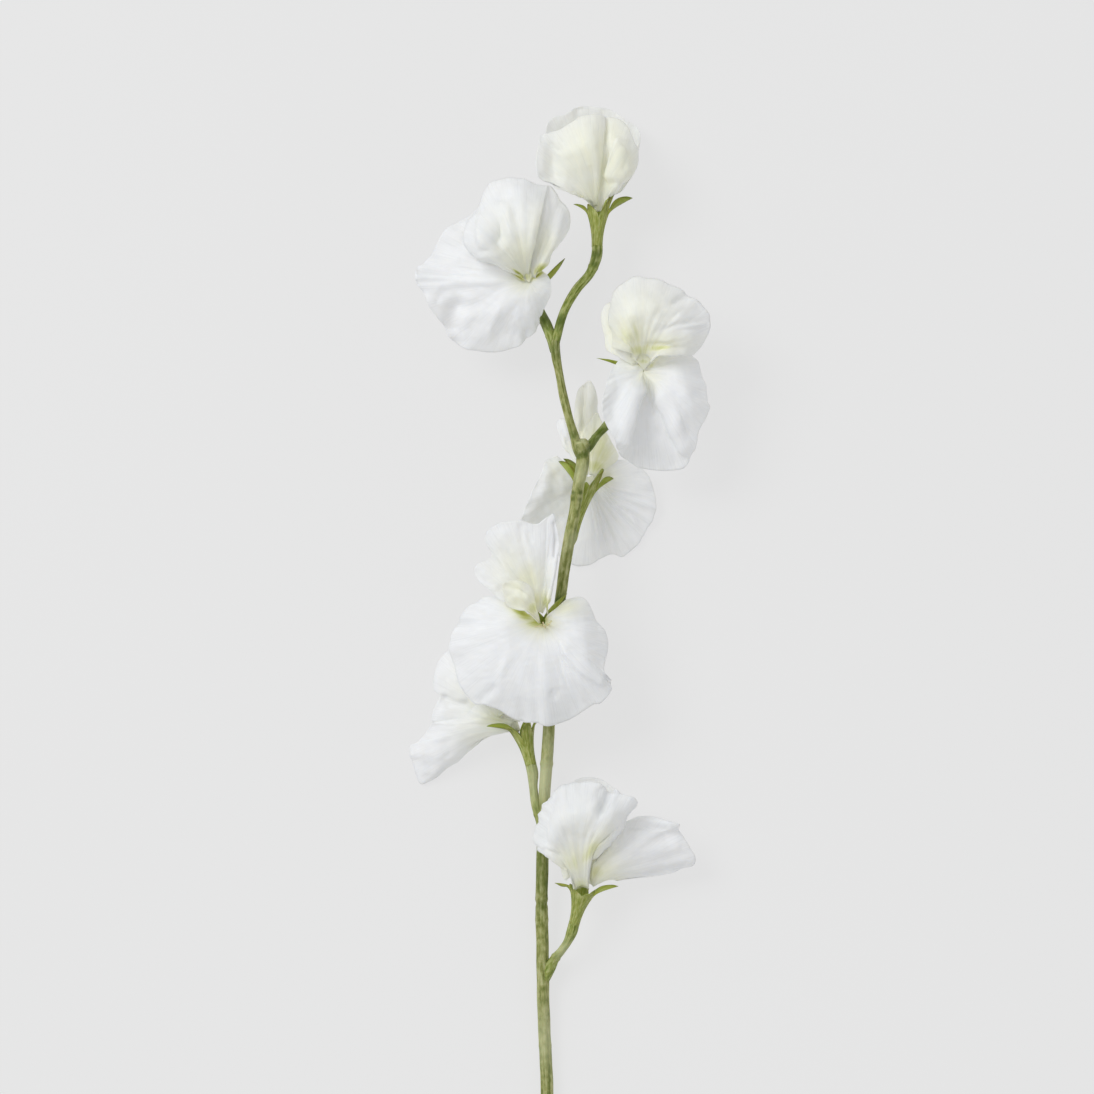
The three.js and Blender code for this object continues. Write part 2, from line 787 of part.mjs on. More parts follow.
function circle(centre, axis, radius, sides) {
  const [level, rise] = across(axis);
  return Array.from({ length: sides }, (_, s) => {
    const angle = (s / sides) * 2 * Math.PI;
    return centre
      .clone()
      .addScaledVector(level, radius * Math.cos(angle))
      .addScaledVector(rise, -radius * Math.sin(angle));
  });
}

// A pedicel's stations, ending just short of its calyx.
function pedicel({ pedicel: stations, calyx: { base, mouth, radii } }) {
  const foot = new THREE.Vector3(...base);
  const axis = new THREE.Vector3(...mouth).sub(foot).normalize();
  const below = [PEDICEL_END, JOINT_GAP].map((gap) => [...foot.clone().addScaledVector(axis, -gap), radii[0]]);
  return [...stations, ...below];
}

function stalk(stations, sides, steps) {
  const path = smooth(stations.map(([x, y, z]) => [x, y, z]));
  const radii = smooth(stations.map(([, , , radius]) => [radius, 0, 0]));
  return loft(spread((t) => circle(path.getPoint(t), path.getTangent(t), radii.getPoint(t).x, sides), steps));
}

// A petal's middle surface as columns of points, one for each rib, from the root to the margin.
function petalColumns({ hub, root, claw = CLAW_RADIUS, ribs }) {
  return ribs.map(([angle, reach, ...heights]) => {
    const along = new THREE.Vector3(Math.cos((angle * Math.PI) / 180), Math.sin((angle * Math.PI) / 180), 0);
    const stations = RIB_STATIONS.map((share, i) =>
      new THREE.Vector3(...hub).addScaledVector(along, share * reach).setZ(hub[2] + heights[i]),
    );
    const start = new THREE.Vector3(...root).addScaledVector(along, claw);
    const rib = smooth([start, ...stations]);
    return spread((t) => rib.getPoint(t), PETAL_ROWS);
  });
}

function sheetNormals(columns) {
  return columns.map((column, i) =>
    column.map((_, j) => {
      const before = columns[Math.max(i - 1, 0)][j];
      const after = columns[Math.min(i + 1, columns.length - 1)][j];
      const lower = column[Math.max(j - 1, 0)];
      const upper = column[Math.min(j + 1, column.length - 1)];
      const side = new THREE.Vector3().subVectors(after, before);
      return side.cross(new THREE.Vector3().subVectors(upper, lower)).normalize();
    }),
  );
}

// Thickens a sheet to both sides, and closes it along its whole margin.
function sheet(columns, thickness) {
  const rows = columns[0].length;
  const normals = sheetNormals(columns);
  const shifted = (by) =>
    columns.map((column, i) => column.map((p, j) => p.clone().addScaledVector(normals[i][j], by)));
  const points = [...shifted(thickness / 2).flat(), ...shifted(-thickness / 2).flat()];
  const under = columns.length * rows;
  const faces = [];
  for (let i = 0; i + 1 < columns.length; i += 1) {
    for (let j = 0; j + 1 < rows; j += 1) {
      const [a, b, c, d] = [i * rows + j, (i + 1) * rows + j, (i + 1) * rows + j + 1, i * rows + j + 1];
      faces.push([a, b, c], [a, c, d]);
      faces.push([under + a, under + c, under + b], [under + a, under + d, under + c]);
    }
  }
  const rim = margin(columns.length, rows);
  rim.forEach((here, k) => {
    const next = rim[(k + 1) % rim.length];
    faces.push([next, here, under + here], [next, under + here, under + next]);
  });
  return solid(points, faces);
}

// The places of a grid's outer points, in order round it.
function margin(columns, rows) {
  const place = (i, j) => i * rows + j;
  return [
    ...Array.from({ length: columns - 1 }, (_, i) => place(i, 0)),
    ...Array.from({ length: rows - 1 }, (_, j) => place(columns - 1, j)),
    ...Array.from({ length: columns - 1 }, (_, i) => place(columns - 1 - i, rows - 1)),
    ...Array.from({ length: rows - 1 }, (_, j) => place(0, rows - 1 - j)),
  ];
}

// A green cup with five pointed lobes that bend outwards. Its wall is one thickness from the mouth to the floor.
// A sepal is [reach, how far it rises for each mm of reach, and how far its tip leans to one side].
function calyx({ base, mouth, radii, sepals, turn }) {
  const start = new THREE.Vector3(...base);
  const axis = new THREE.Vector3(...mouth).sub(start);
  const length = axis.length();
  axis.normalize();
  const [level, rise] = across(axis);
  const [low, high] = radii;
  const widths = CALYX_HEIGHTS.map((share) => low + (high - low) * share ** CALYX_FLARE);
  const ring = (height, radius, lobe, wall) =>
    Array.from({ length: CALYX_COLUMNS }, (_, column) => {
      const tip = column % SEPAL_COLUMNS === 0 ? 1 : SEPAL_SHOULDER;
      const [sepal, lift, lean = 0] = sepals[Math.floor(((column + 1) % CALYX_COLUMNS) / SEPAL_COLUMNS)];
      const reach = sepal * tip * lobe;
      const angle = ((turn + (column * 360) / CALYX_COLUMNS) * Math.PI) / 180;
      const out = radius - wall + reach * (SEPAL_SPREAD[0] + SEPAL_SPREAD[1] * lobe);
      const up = height + lift * reach * (1 - SEPAL_DROOP * lobe) + wall * reach * SEPAL_INNER_RISE;
      const aside = lean * (tip * lobe) ** SEPAL_LEAN_POWER;
      return start
        .clone()
        .addScaledVector(axis, up)
        .addScaledVector(level, out * Math.cos(angle) - aside * Math.sin(angle))
        .addScaledVector(rise, out * Math.sin(angle) + aside * Math.cos(angle));
    });
  const outside = CALYX_HEIGHTS.map((share, i) => ring(length * share, widths[i], 0, 0));
  const tips = SEPAL_ROWS.map((lobe) => ring(length, high, lobe, 0));
  const tipsInside = SEPAL_ROWS.toReversed().map((lobe) => ring(length, high, lobe, CALYX_WALL));
  const inside = HOLLOW_LEVELS.map((i) => ring(length * CALYX_HEIGHTS[i], widths[i], 0, CALYX_WALL));
  const rings = [...outside, ...tips, ...tipsInside, ...inside];
  return loft(rings.map((points) => points.toReversed()));
}

function named(name, geometry, material) {
  const mesh = new THREE.Mesh(geometry, material);
  mesh.name = name;
  return mesh;
}

const spray = new THREE.Group();
spray.add(named("main_stem", stalk(MAIN_STEM, STEM_SIDES, STEM_STEPS), STEM_GREEN));
for (const flower of FLOWERS) {
  spray.add(named(`${flower.name}_pedicel`, stalk(pedicel(flower), STALK_SIDES, PEDICEL_STEPS), STEM_GREEN));
  spray.add(named(`${flower.name}_calyx`, calyx(flower.calyx), CALYX_GREEN));
  for (const [petal, shape] of Object.entries(flower.petals)) {
    const material = petal === "keel" ? CREAM_PETAL : WHITE_PETAL;
    spray.add(named(`${flower.name}_${petal}`, sheet(petalColumns(shape), PETAL_THICKNESS), material));
  }
}
FILAMENTS.forEach((points, i) => {
  const shape = stalk(points.map((p) => [...p, FILAMENT_RADIUS]), FILAMENT_SIDES, FILAMENT_STEPS);
  spray.add(named(`flower_5_filament_${i + 1}`, shape, STAMEN_CREAM));
});

spray.position.set(...ORIGIN.map((place) => -place));
spray.updateMatrixWorld(true);

export default spray;
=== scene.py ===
"""A cut spray of white sweet pea on a pale surface: one bent stem and seven blossoms on short stalks.

Tables are in millimetres, counted from the cut end of the stem, with x to the right, y along the stem and z
up from the surface. Each piece is a closed body in the place of one CAD node. Only the main stem has two.
"""

import math
from collections import namedtuple

import bpy
import numpy as np
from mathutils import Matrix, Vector


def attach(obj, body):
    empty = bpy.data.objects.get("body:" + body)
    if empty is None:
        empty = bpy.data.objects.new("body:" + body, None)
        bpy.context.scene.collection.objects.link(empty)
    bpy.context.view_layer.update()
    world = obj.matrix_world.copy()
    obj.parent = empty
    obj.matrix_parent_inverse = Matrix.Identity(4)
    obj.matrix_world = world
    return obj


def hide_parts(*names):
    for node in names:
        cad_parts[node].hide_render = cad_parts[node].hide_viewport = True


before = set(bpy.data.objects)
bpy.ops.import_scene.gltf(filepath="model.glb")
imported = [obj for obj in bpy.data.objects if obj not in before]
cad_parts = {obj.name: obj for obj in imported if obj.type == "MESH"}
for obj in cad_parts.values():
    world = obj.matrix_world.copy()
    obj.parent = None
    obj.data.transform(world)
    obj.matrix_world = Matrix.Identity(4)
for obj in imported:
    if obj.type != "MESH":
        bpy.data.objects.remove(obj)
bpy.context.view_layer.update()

MM = 0.001
# The place of the CAD frame's origin in the tables.
ORIGIN = np.array((3.8, 171, 0.2))


def smoothstep(low, high, x):
    t = np.clip((x - low) / (high - low), 0, 1)
    return t * t * (3 - 2 * t)


def unit(v):
    return v / np.maximum(np.linalg.norm(v, axis=-1, keepdims=True), 1e-9)


def through(knots, values, x):
    """A smooth curve through the values at the knots, read at x."""
    knots = np.asarray(knots, float)
    values = np.asarray(values, float)
    slopes = np.gradient(values, knots, axis=0)
    i = np.clip(np.searchsorted(knots, x) - 1, 0, len(knots) - 2)
    width = knots[i + 1] - knots[i]
    t = (x - knots[i]) / width
    if values.ndim > 1:
        t, width = t[:, None], width[:, None]
    a, b = values[i], values[i + 1]
    ta, tb = slopes[i] * width, slopes[i + 1] * width
    t2, t3 = t * t, t * t * t
    return (2 * t3 - 3 * t2 + 1) * a + (t3 - 2 * t2 + t) * ta + (3 * t2 - 2 * t3) * b + (t3 - t2) * tb


WAVES = 9
WAVE_RATES = (0.6, 1.5)


def ripple(x, y, seed, length):
    """A smooth uneven field from about -1 to 1, the same on each run, with humps about one length apart."""
    draw = np.random.default_rng(seed)
    turns = draw.uniform(0, 2 * math.pi, WAVES)
    rates = draw.uniform(*WAVE_RATES, WAVES)
    phases = draw.uniform(0, 2 * math.pi, WAVES)
    total = np.zeros_like(x)
    for turn, rate, phase in zip(turns, rates, phases):
        total += np.sin((x * math.cos(turn) + y * math.sin(turn)) * rate * 2 * math.pi / length + phase)
    return total / math.sqrt(WAVES)


# Features of a petal's surface. Each gives the height that it adds, in mm, at the places of a grid. A place
# has its x and y, its direction from the hub in degrees, its share of the way out, and that whole way in mm.
Grid = namedtuple("Grid", "x y angle share reach seed")
PLEAT_WANDER = 1.2
PLEAT_BORDER = 8
FRILL_SEED = 5
FRILL_BORDER = 10
# The directions within which there are pleats and frills, unless told otherwise.
ALL_ROUND = (-400, 400)


def beside(points, x, y):
    """How far along a line each place lies, from 0 to 1, and how far to its left."""
    points = np.asarray(points, float)
    lengths = np.linalg.norm(np.diff(points, axis=0), axis=1)
    starts = np.concatenate(([0], np.cumsum(lengths)))
    best = np.full(x.shape, np.inf)
    left = np.zeros(x.shape)
    along = np.zeros(x.shape)
    for a, b, start, length in zip(points[:-1], points[1:], starts, lengths):
        way = (b - a) / length
        t = np.clip((x - a[0]) * way[0] + (y - a[1]) * way[1], 0, length)
        dx, dy = x - a[0] - t * way[0], y - a[1] - t * way[1]
        distance = np.hypot(dx, dy)
        nearer = distance < best
        best = np.where(nearer, distance, best)
        side = np.sign(way[0] * dy - way[1] * dx)
        left = np.where(nearer, side * distance, left)
        along = np.where(nearer, (start + t) / starts[-1], along)
    return along, left


def sector(angle, between, soft):
    """1 between two directions in degrees, fading to 0 over a soft border."""
    low, high = between
    return smoothstep(low, low + soft, angle) * (1 - smoothstep(high - soft, high, angle))


def fold(points, left_width, right_width, height, fade=(0.3, 0.3)):
    """A rounded ridge along a line, or a valley where the height is negative, with a width to each side. It
    fades over a share of its length at each end."""

    def add(grid):
        along, left = beside(points, grid.x, grid.y)
        width = np.where(left > 0, left_width, right_width)
        ends = smoothstep(0, fade[0], along) * smoothstep(0, fade[1], 1 - along)
        return height * np.exp(-((left / width) ** 2)) * ends

    return add


def ridge(points, width, height, fade=(0.3, 0.3)):
    """A fold with two like sides."""
    return fold(points, width, width, height, fade)


def dome(centre, radii, height, turn=0):
    """An oval swelling, or a dent where the height is negative."""

    def add(grid):
        c, s = math.cos(math.radians(turn)), math.sin(math.radians(turn))
        dx, dy = grid.x - centre[0], grid.y - centre[1]
        along, over = dx * c + dy * s, dy * c - dx * s
        return height * np.exp(-((along / radii[0]) ** 2) - (over / radii[1]) ** 2)

    return add


def pleats(count, height, start=0.1, end=0.9, between=ALL_ROUND, phase=0.0):
    """Fine ridges that fan out from the hub, count of them to each 90 degrees."""

    def add(grid):
        wander = PLEAT_WANDER * ripple(grid.angle / 12, grid.share * 2, grid.seed, 3)
        wave = np.sin(np.radians(grid.angle) * 4 * count + phase + wander)
        near = smoothstep(0.05, start + 0.35, grid.share) * (1 - smoothstep(end * 0.5, end, grid.share))
        return height * wave * near * sector(grid.angle, between, PLEAT_BORDER)

    return add


def frill(height, length, start):
    """Waves round the margin."""

    def add(grid):
        place = np.radians(grid.angle) * grid.reach
        wave = ripple(place, grid.share * 3, grid.seed + FRILL_SEED, length)
        outer = smoothstep(start, 1, grid.share)
        return height * wave * outer * sector(grid.angle, ALL_ROUND, FRILL_BORDER)

    return add


def curl(between, height, start, soft=PLEAT_BORDER):
    """A stretch of the margin that turns up, or down where the height is negative."""

    def add(grid):
        lift = np.clip((grid.share - start) / (1 - start), 0, 1)
        return height * lift**2 * sector(grid.angle, between, soft)

    return add


# Stations of the stalks: x, y, z and radius.
MAIN_STEM = [
    (0.3, 0, 2.1, 2), (0.4, 22, 2.2, 1.95), (0.3, 45, 2.6, 1.9), (-0.7, 67, 3.6, 1.88), (-1.1, 90, 5.2, 1.9),
    (-1.3, 102, 6.3, 1.85), (-1.1, 114, 7.5, 1.85), (-0.2, 139, 10.3, 1.75), (0.4, 147, 11.3, 1.8),
    (1.2, 162, 13.2, 1.7), (2.6, 180, 15.8, 1.6), (4.6, 196, 18.2, 1.65), (6.5, 209, 19.8, 1.75),
    (8.4, 219, 20.6, 1.65), (9.8, 228, 21, 1.75), (10.9, 234.4, 21.1, 1.95), (11, 237.4, 21.4, 2),
    (10.9, 239.3, 22.3, 2.1), (10.9, 240.3, 23.4, 2),
]
# The thinner length above the fork, which starts inside the cut end of the main one.
UPPER_STEM = [
    (10.4, 235.4, 20.6, 1.0), (9.4, 238.4, 21, 1.4), (8.5, 242, 21.1, 1.35), (7.3, 246, 21, 1.2),
    (5.5, 253.2, 20.7, 1.25), (3.7, 262, 20.2, 1.2), (2.9, 267, 20, 1.4), (2.6, 271.6, 19.9, 1.3),
]
PEDICELS = {
    "flower_1": [
        (2.4, 267, 19.9, 1.0), (3.1, 271.4, 19.9, 1.25), (5.7, 280.2, 19.4, 1.25), (9.2, 286.2, 18.6, 1.35),
        (13.4, 291.6, 17.6, 1.4),
    ],
    "flower_2": [
        (2.3, 267.4, 19.6, 1.0), (1.7, 271, 19.2, 1.4), (0.2, 275.4, 17.6, 1.6), (-1, 278, 15.6, 1.5),
        (-1.9, 280.4, 13.8, 1.3),
    ],
    "flower_3": [
        (10.2, 235.8, 20.6, 1.0), (12.4, 238.6, 20.6, 1.3), (15.4, 242.6, 17.6, 1.1),
        (18, 245.4, 15.4, 1.25), (20.8, 249.6, 13, 1.3), (23.8, 253.4, 11.6, 1.35),
    ],
    "flower_4": [
        (5.2, 197.6, 18.2, 0.9), (5.9, 202, 16.8, 1.1), (6.6, 207.2, 15.2, 1.15), (7.3, 210, 14.4, 1.2),
    ],
    "flower_5": [(1.8, 165, 13.8, 0.9), (0.4, 169, 15.8, 1.1), (-0.2, 175, 17.5, 1.1), (0, 179, 17.9, 1.15)],
    "flower_6": [
        (-0.6, 121, 8.4, 1.0), (-1.7, 126.5, 9.2, 1.35), (-3.1, 131.6, 9.6, 1.35), (-3.8, 137, 9.6, 1.25),
    ],
    "flower_7": [
        (-0.6, 77.5, 4.6, 1.2), (1.2, 82.4, 5.2, 1.75), (2.8, 85.2, 6, 1.35), (4.6, 87.4, 7.4, 1.2),
        (6.6, 90.4, 9, 1.25),
    ],
}

# A cup from its base to its mouth, with a radius at each, and five sepals, the first turned round the axis. A
# sepal is its reach past the rim, its rise for each mm of reach, and perhaps its lean to one side.
Calyx = namedtuple("Calyx", "base mouth radii turn sepals")
CALYCES = {
    "flower_1": Calyx(
        (15.3, 299, 16.8), (15.6, 310.6, 16), (1.65, 3.9), 54,
        [(6.6, 2.4), (2, 1), (4.9, 0.8), (4, 1), (8.8, 1.25)],
    ),
    "flower_2": Calyx(
        (-2.9, 284.2, 14.6), (-4.6, 287.8, 21.6), (1.5, 4), 16,
        [(9.6, 0.6, -5), (1.5, 0.2), (1.5, 0.2), (1.5, 0.2), (8, 0.6, 5.2)],
    ),
    "flower_3": Calyx(
        (26.4, 257.2, 13.8), (28.8, 260.9, 21), (1.5, 4.1), 26,
        [(2, 0.2), (2, 0.2), (13.4, 0.4, -3), (2, 0.3), (2, 0.2)],
    ),
    "flower_4": Calyx(
        (8.5, 213.6, 13.8), (12.4, 228.6, 12.2), (1.35, 4), -20,
        [(5, 1.9), (3, 4), (9, 1.3, 3), (8, 1.5), (1.5, 1)],
    ),
    "flower_5": Calyx(
        (0, 183.2, 20.8), (-0.9, 186.9, 26.4), (1.5, 4.3), -44,
        [(9, 0.3, 1.2), (1.2, 0.2), (1.2, 0.2), (1.2, 0.2), (6.5, 0.5, -2)],
    ),
    "flower_6": Calyx(
        (-4.5, 143.4, 9.6), (-7.4, 155.4, 9.6), (1.7, 4.3), -5,
        [(3, 1), (3, 1), (11.4, 0.6), (2, 0.5), (3, 1)],
    ),
    "flower_7": Calyx(
        (8.4, 95.5, 10.6), (11.2, 106.6, 13.6), (1.65, 4.3), 54,
        [(0.8, 0.3), (0.8, 0.3), (6.2, -0.7), (2, 0.6), (8, 0.8)],
    ),
}

# Rings round the stalks, each a distance along the stalk and a height, and how far a ring spreads.
STEM_COLLARS = [(58.5, 0.1), (96.8, 0.12), (101.9, -0.22), (102.9, 0.12), (144.4, 0.22), (225.6, 0.14)]
STEM_COLLAR_SOFT = 0.8
PEDICEL_COLLARS = {
    "flower_1": (29, 0.15), "flower_2": (5, 0.1), "flower_3": (8, 0.1), "flower_4": (5, 0.1),
    "flower_5": (5, 0.1), "flower_6": (8, 0.15), "flower_7": (9, 0.2),
}
PEDICEL_COLLAR_SOFT = 0.5

# Where the stalks are a deeper green, or paler where the strength is below 0: x, y, radius and strength.
TINT_PLACES = [
    (8.1, 237, 0.9, 0.9), (9.9, 236.3, 0.9, 1), (11.7, 236.8, 0.9, 1), (12.9, 238.5, 0.9, 0.9),
    (10.9, 239.8, 0.4, 0.8), (8.2, 242.6, 1.2, 0.6), (14, 240.6, 1.6, 0.8), (16.4, 244, 2, 0.9),
    (8.1, 225.4, 0.5, 1), (10.2, 225.4, 0.5, 1), (8, 223.3, 0.5, 0.6), (10, 223.3, 0.5, 0.7),
    (15.2, 296.8, 1.1, 1), (14.4, 294, 1, 0.6), (0.4, 277, 2.2, 0.9), (4.4, 276.5, 2, 0.9),
    (-0.9, 147.2, 1.1, 0.4), (0.8, 150, 3, -0.4), (0.2, 139, 7, -1.2), (-1, 121.5, 4, 0.4),
    (2.9, 268, 3, 0.35), (0.3, 61, 9, -0.6), (5, 88, 3.5, -0.7), (-1.2, 101, 1.4, 0.4), (-1.3, 112, 8, 0.3),
    (8.2, 211, 3, -0.5), (10.8, 231, 3.4, -0.7), (10.9, 240.8, 1.6, -0.8), (3, 191.5, 3, 1),
]

# The filaments in the open throat of flower_5: root, bend and tip, and the radii at four stations.
FILAMENTS = [
    ((-1.3, 185.9, 28.6), (-1.5, 185.6, 32), (-3.4, 185.6, 35.4)),
    ((-0.4, 185.7, 28.6), (-0.4, 185.2, 32), (-0.9, 186.8, 36)),
    ((0.45, 186.2, 28.6), (0.7, 186, 31.8), (1.6, 187.2, 35.4)),
]
FILAMENT_RADII = (0.26, 0.24, 0.2, 0.2)

PETALS = {}


def petal(name, hub, root, ribs, claw=0.9, shape=(), cream=()):
    """A petal is a fan of ribs about its hub. A rib is its direction in degrees, its reach, and its height
    above the hub at 0.3, 0.65 and all of its reach. The ribs start inside the cup, at the claw's radius round
    the root. Shape lists the surface's features, and cream its tinted spots, each given as for a dome. Some
    of the strongest spots, which reach green and olive, are painted shade along creases, under hood edges and
    in throats."""
    PETALS[name] = {"hub": hub, "root": root, "ribs": ribs, "claw": claw, "shape": shape, "cream": cream}


# The hooded blossom at the tip.
petal("flower_1_standard", hub=(15.6, 311.7, 14), root=(15.6, 309.4, 14), ribs=[
    (33, 8.2, -2, -4, 0), (40, 13.4, -3, -8, -2), (49, 18.7, -4, -10, -5), (56, 22.5, -4.5, -11, -6),
    (62, 25.8, -5, -12, -7), (72, 27.5, -5, -12, -8), (81, 29.4, -5, -12.8, -9), (88, 30.3, -5, -12.8, -9),
    (94, 30.7, -5, -12.8, -9), (101, 30.8, -5, -12.4, -8.5), (106, 30.2, -5, -11.6, -8),
    (110, 29.7, -5, -11, -7.5), (115, 30.1, -4.5, -10.5, -7), (120, 29.7, -4.5, -10, -6),
    (124, 28.3, -4, -9, -5), (129, 26.4, -4, -8, -3.5), (137, 24.2, -3, -6, -1), (147, 21.7, -2, -2, 3),
], shape=[
    pleats(3, 0.12),
    frill(0.5, 9, 0.7),
    ridge([(9.9, 342), (9.3, 337.2)], 1.2, -0.8, (0.05, 0.6)),
], cream=[((13.8, 323.7), (13, 13), 0.7)])
petal("flower_1_wing_left", hub=(15.6, 311.7, 18), root=(15.2, 310.4, 17), ribs=[
    (159, 5.8, 0.4, 2, 3), (159, 13.5, 1, 4, 6.4), (158, 19.1, 2, 6, 9.4), (152, 21.1, 3, 6, 9.2),
    (144, 23, 4, 6.6, 9), (136, 24.8, 4.6, 7.4, 8.6), (131, 26.3, 5, 8.4, 8), (124, 25.5, 6, 9.6, 7),
    (117, 24.8, 6.4, 11, 7), (108, 25.4, 6.8, 12, 7.4), (101, 26.2, 7.2, 12.4, 8), (94, 26.5, 7.6, 12, 8),
    (89, 26.4, 7, 10.4, 6.4), (85, 25.8, 5.6, 8.6, 4.8),
], shape=[
    dome((2.1, 323.4), (2.0, 5.5), -2.2, 8),
    ridge([(-2.4, 330.9), (1.2, 329.1), (6, 325.2)], 0.8, -0.7, (0.1, 0.5)),
    ridge([(-1.5, 331.5), (3, 330.3), (8.4, 327.6)], 1.0, 0.5, (0.1, 0.5)),
    ridge([(-2.4, 319.5), (1.8, 319.8), (7.2, 318.6)], 0.9, -0.5, (0.1, 0.5)),
    pleats(5, 0.1),
], cream=[((13.2, 325.8), (13, 15), 0.85), ((14.4, 315.6), (8, 7), 0.95), ((5.7, 325.2), (8, 8), 0.4)])
petal("flower_1_wing_right", hub=(16.2, 311.7, 16.6), root=(17, 310.2, 16.2), ribs=[
    (96, 25.3, 4, 6.6, 3), (90, 25.5, 5, 8.4, 4.2), (84, 25.9, 5.8, 9.2, 5), (79, 26, 6.6, 9.8, 5),
    (73, 25.1, 7.2, 10.2, 5), (67, 23.1, 8, 11, 5.6), (60, 20.8, 8, 11.2, 6), (51, 18.1, 7.6, 11, 6),
    (45, 15.7, 7, 10.4, 6), (42, 12.5, 5.6, 9, 5.4), (41, 9.6, 4.4, 6.6, 4.2), (36, 7.1, 3, 4, 3),
], shape=[
    fold([(18.6, 317.4), (19.5, 325.2), (21.3, 330.3), (25.8, 330.3)], 0.6, 3.4, 1.7, (0.15, 0.35)),
    ridge([(17.4, 334.8), (18, 328.2), (17.4, 316.8)], 0.9, -0.8, (0.2, 0.2)),
    ridge([(20.4, 328.2), (20.1, 320.7), (19.2, 316.2)], 0.5, -0.35),
    ridge([(24.6, 327.6), (22.8, 320.4)], 0.6, -0.25),
], cream=[((22.2, 323.7), (7, 10), 0.9), ((18, 319.2), (5, 9), 1.0), ((19.2, 332.7), (7, 7), 0.8)])
petal("flower_1_keel", hub=(15.6, 311.7, 16), root=(15.8, 308.8, 15.4), ribs=[
    (122, 11, -1, -1, -1), (105, 14, 0, 1, 1), (90, 15, 0, 2, 2), (75, 13, -1, -1, -1),
])

# The blossom left of the tip, open to the lower left.
petal("flower_2_standard", hub=(-5.7, 288.3, 27), root=(-5.2, 288.2, 26.6), claw=0.15, ribs=[
    (120, 27, -1, -5, -9), (134, 26.7, -1, -4.6, -8), (146, 28.8, -1, -4.6, -7.4),
    (157, 29.4, -1, -4.4, -6.4), (166, 30.1, -0.8, -3.8, -5), (173, 32.9, 0, -2.8, -2.6),
    (178, 33.3, 0.4, -2.2, -1.6), (182, 32.7, 0.4, -2.2, -1.6), (186, 31.1, 0.2, -2.6, -2.2),
    (194, 30.1, 0, -3, -3), (202, 28.8, 0, -3.6, -4.8), (208, 28.2, 0, -3.9, -6.6),
    (214, 28.5, 0, -4.2, -8.4), (222, 27.8, 0, -4.4, -10.6), (232, 25.4, 0, -4.2, -10.8),
    (245, 22.8, 0, -4, -11), (257, 20.6, 0, -3.4, -9.6), (270, 17.7, 0, -3, -8), (281, 14.4, 0, -2.4, -7),
    (296, 10.3, 0, -1.6, -5), (316, 8.7, 0, -1, -3), (337, 7.8, 0, -0.4, -1.6), (353, 7.3, 0, 0, -0.6),
    (370, 6.7, 0, 0, 0), (398, 5.3, 0, 0, 0), (438, 4.3, 0, 0, 0), (490, 4.7, -0.6, -0.6, -1),
], shape=[
    ridge([(-10.8, 291.9), (-8.4, 289.8), (-5.7, 288)], 0.7, -0.8, (0.1, 0.1)),
    ridge([(-5.7, 288), (-1.8, 291), (0.9, 292.2)], 0.7, -0.8, (0.1, 0.1)),
    ridge([(-10.2, 288.3), (-22.8, 288.6), (-35.4, 289.8)], 1.5, 0.6, (0.45, 0.2)),
    ridge([(-39, 291), (-29.7, 290.5), (-18.3, 291)], 0.7, -0.9, (0.05, 0.5)),
    ridge([(-39, 288), (-31.8, 288.4), (-25.2, 288.9)], 0.6, -0.7, (0.05, 0.5)),
    ridge([(-34.8, 294.6), (-22.8, 292.8), (-12.3, 291.6)], 0.8, -0.5),
    ridge([(-24, 284.1), (-27.3, 279.3), (-28.8, 271.8)], 2.8, -2.4, (0.35, 0.2)),
    ridge([(-21, 283.2), (-24, 277.2), (-24.6, 269.7)], 2.0, 0.5, (0.4, 0.2)),
    ridge([(-28.8, 286.2), (-31.5, 284.4), (-33, 281.7)], 1.2, -0.5, (0.3, 0.2)),
    ridge([(-12.3, 283.2), (-16.2, 275.7), (-18, 268.8)], 1.4, 0.5),
    dome((-10.2, 273), (6, 3.2), -1.2, -10),
    pleats(4, 0.07),
    frill(0.5, 11, 0.7),
], cream=[
    # The two thin strong spots turned by 36 degrees paint the V of shade where the hood's lower edges meet
    # this petal.
    ((-6.3, 286.8), (5, 3.2), 0.45), ((-8.1, 289.8), (3, 0.8), 1.9, -36), ((-2.4, 290.2), (3.8, 1), 1.9, 36),
    ((-4.8, 291.6), (5, 3), 1.1),
])
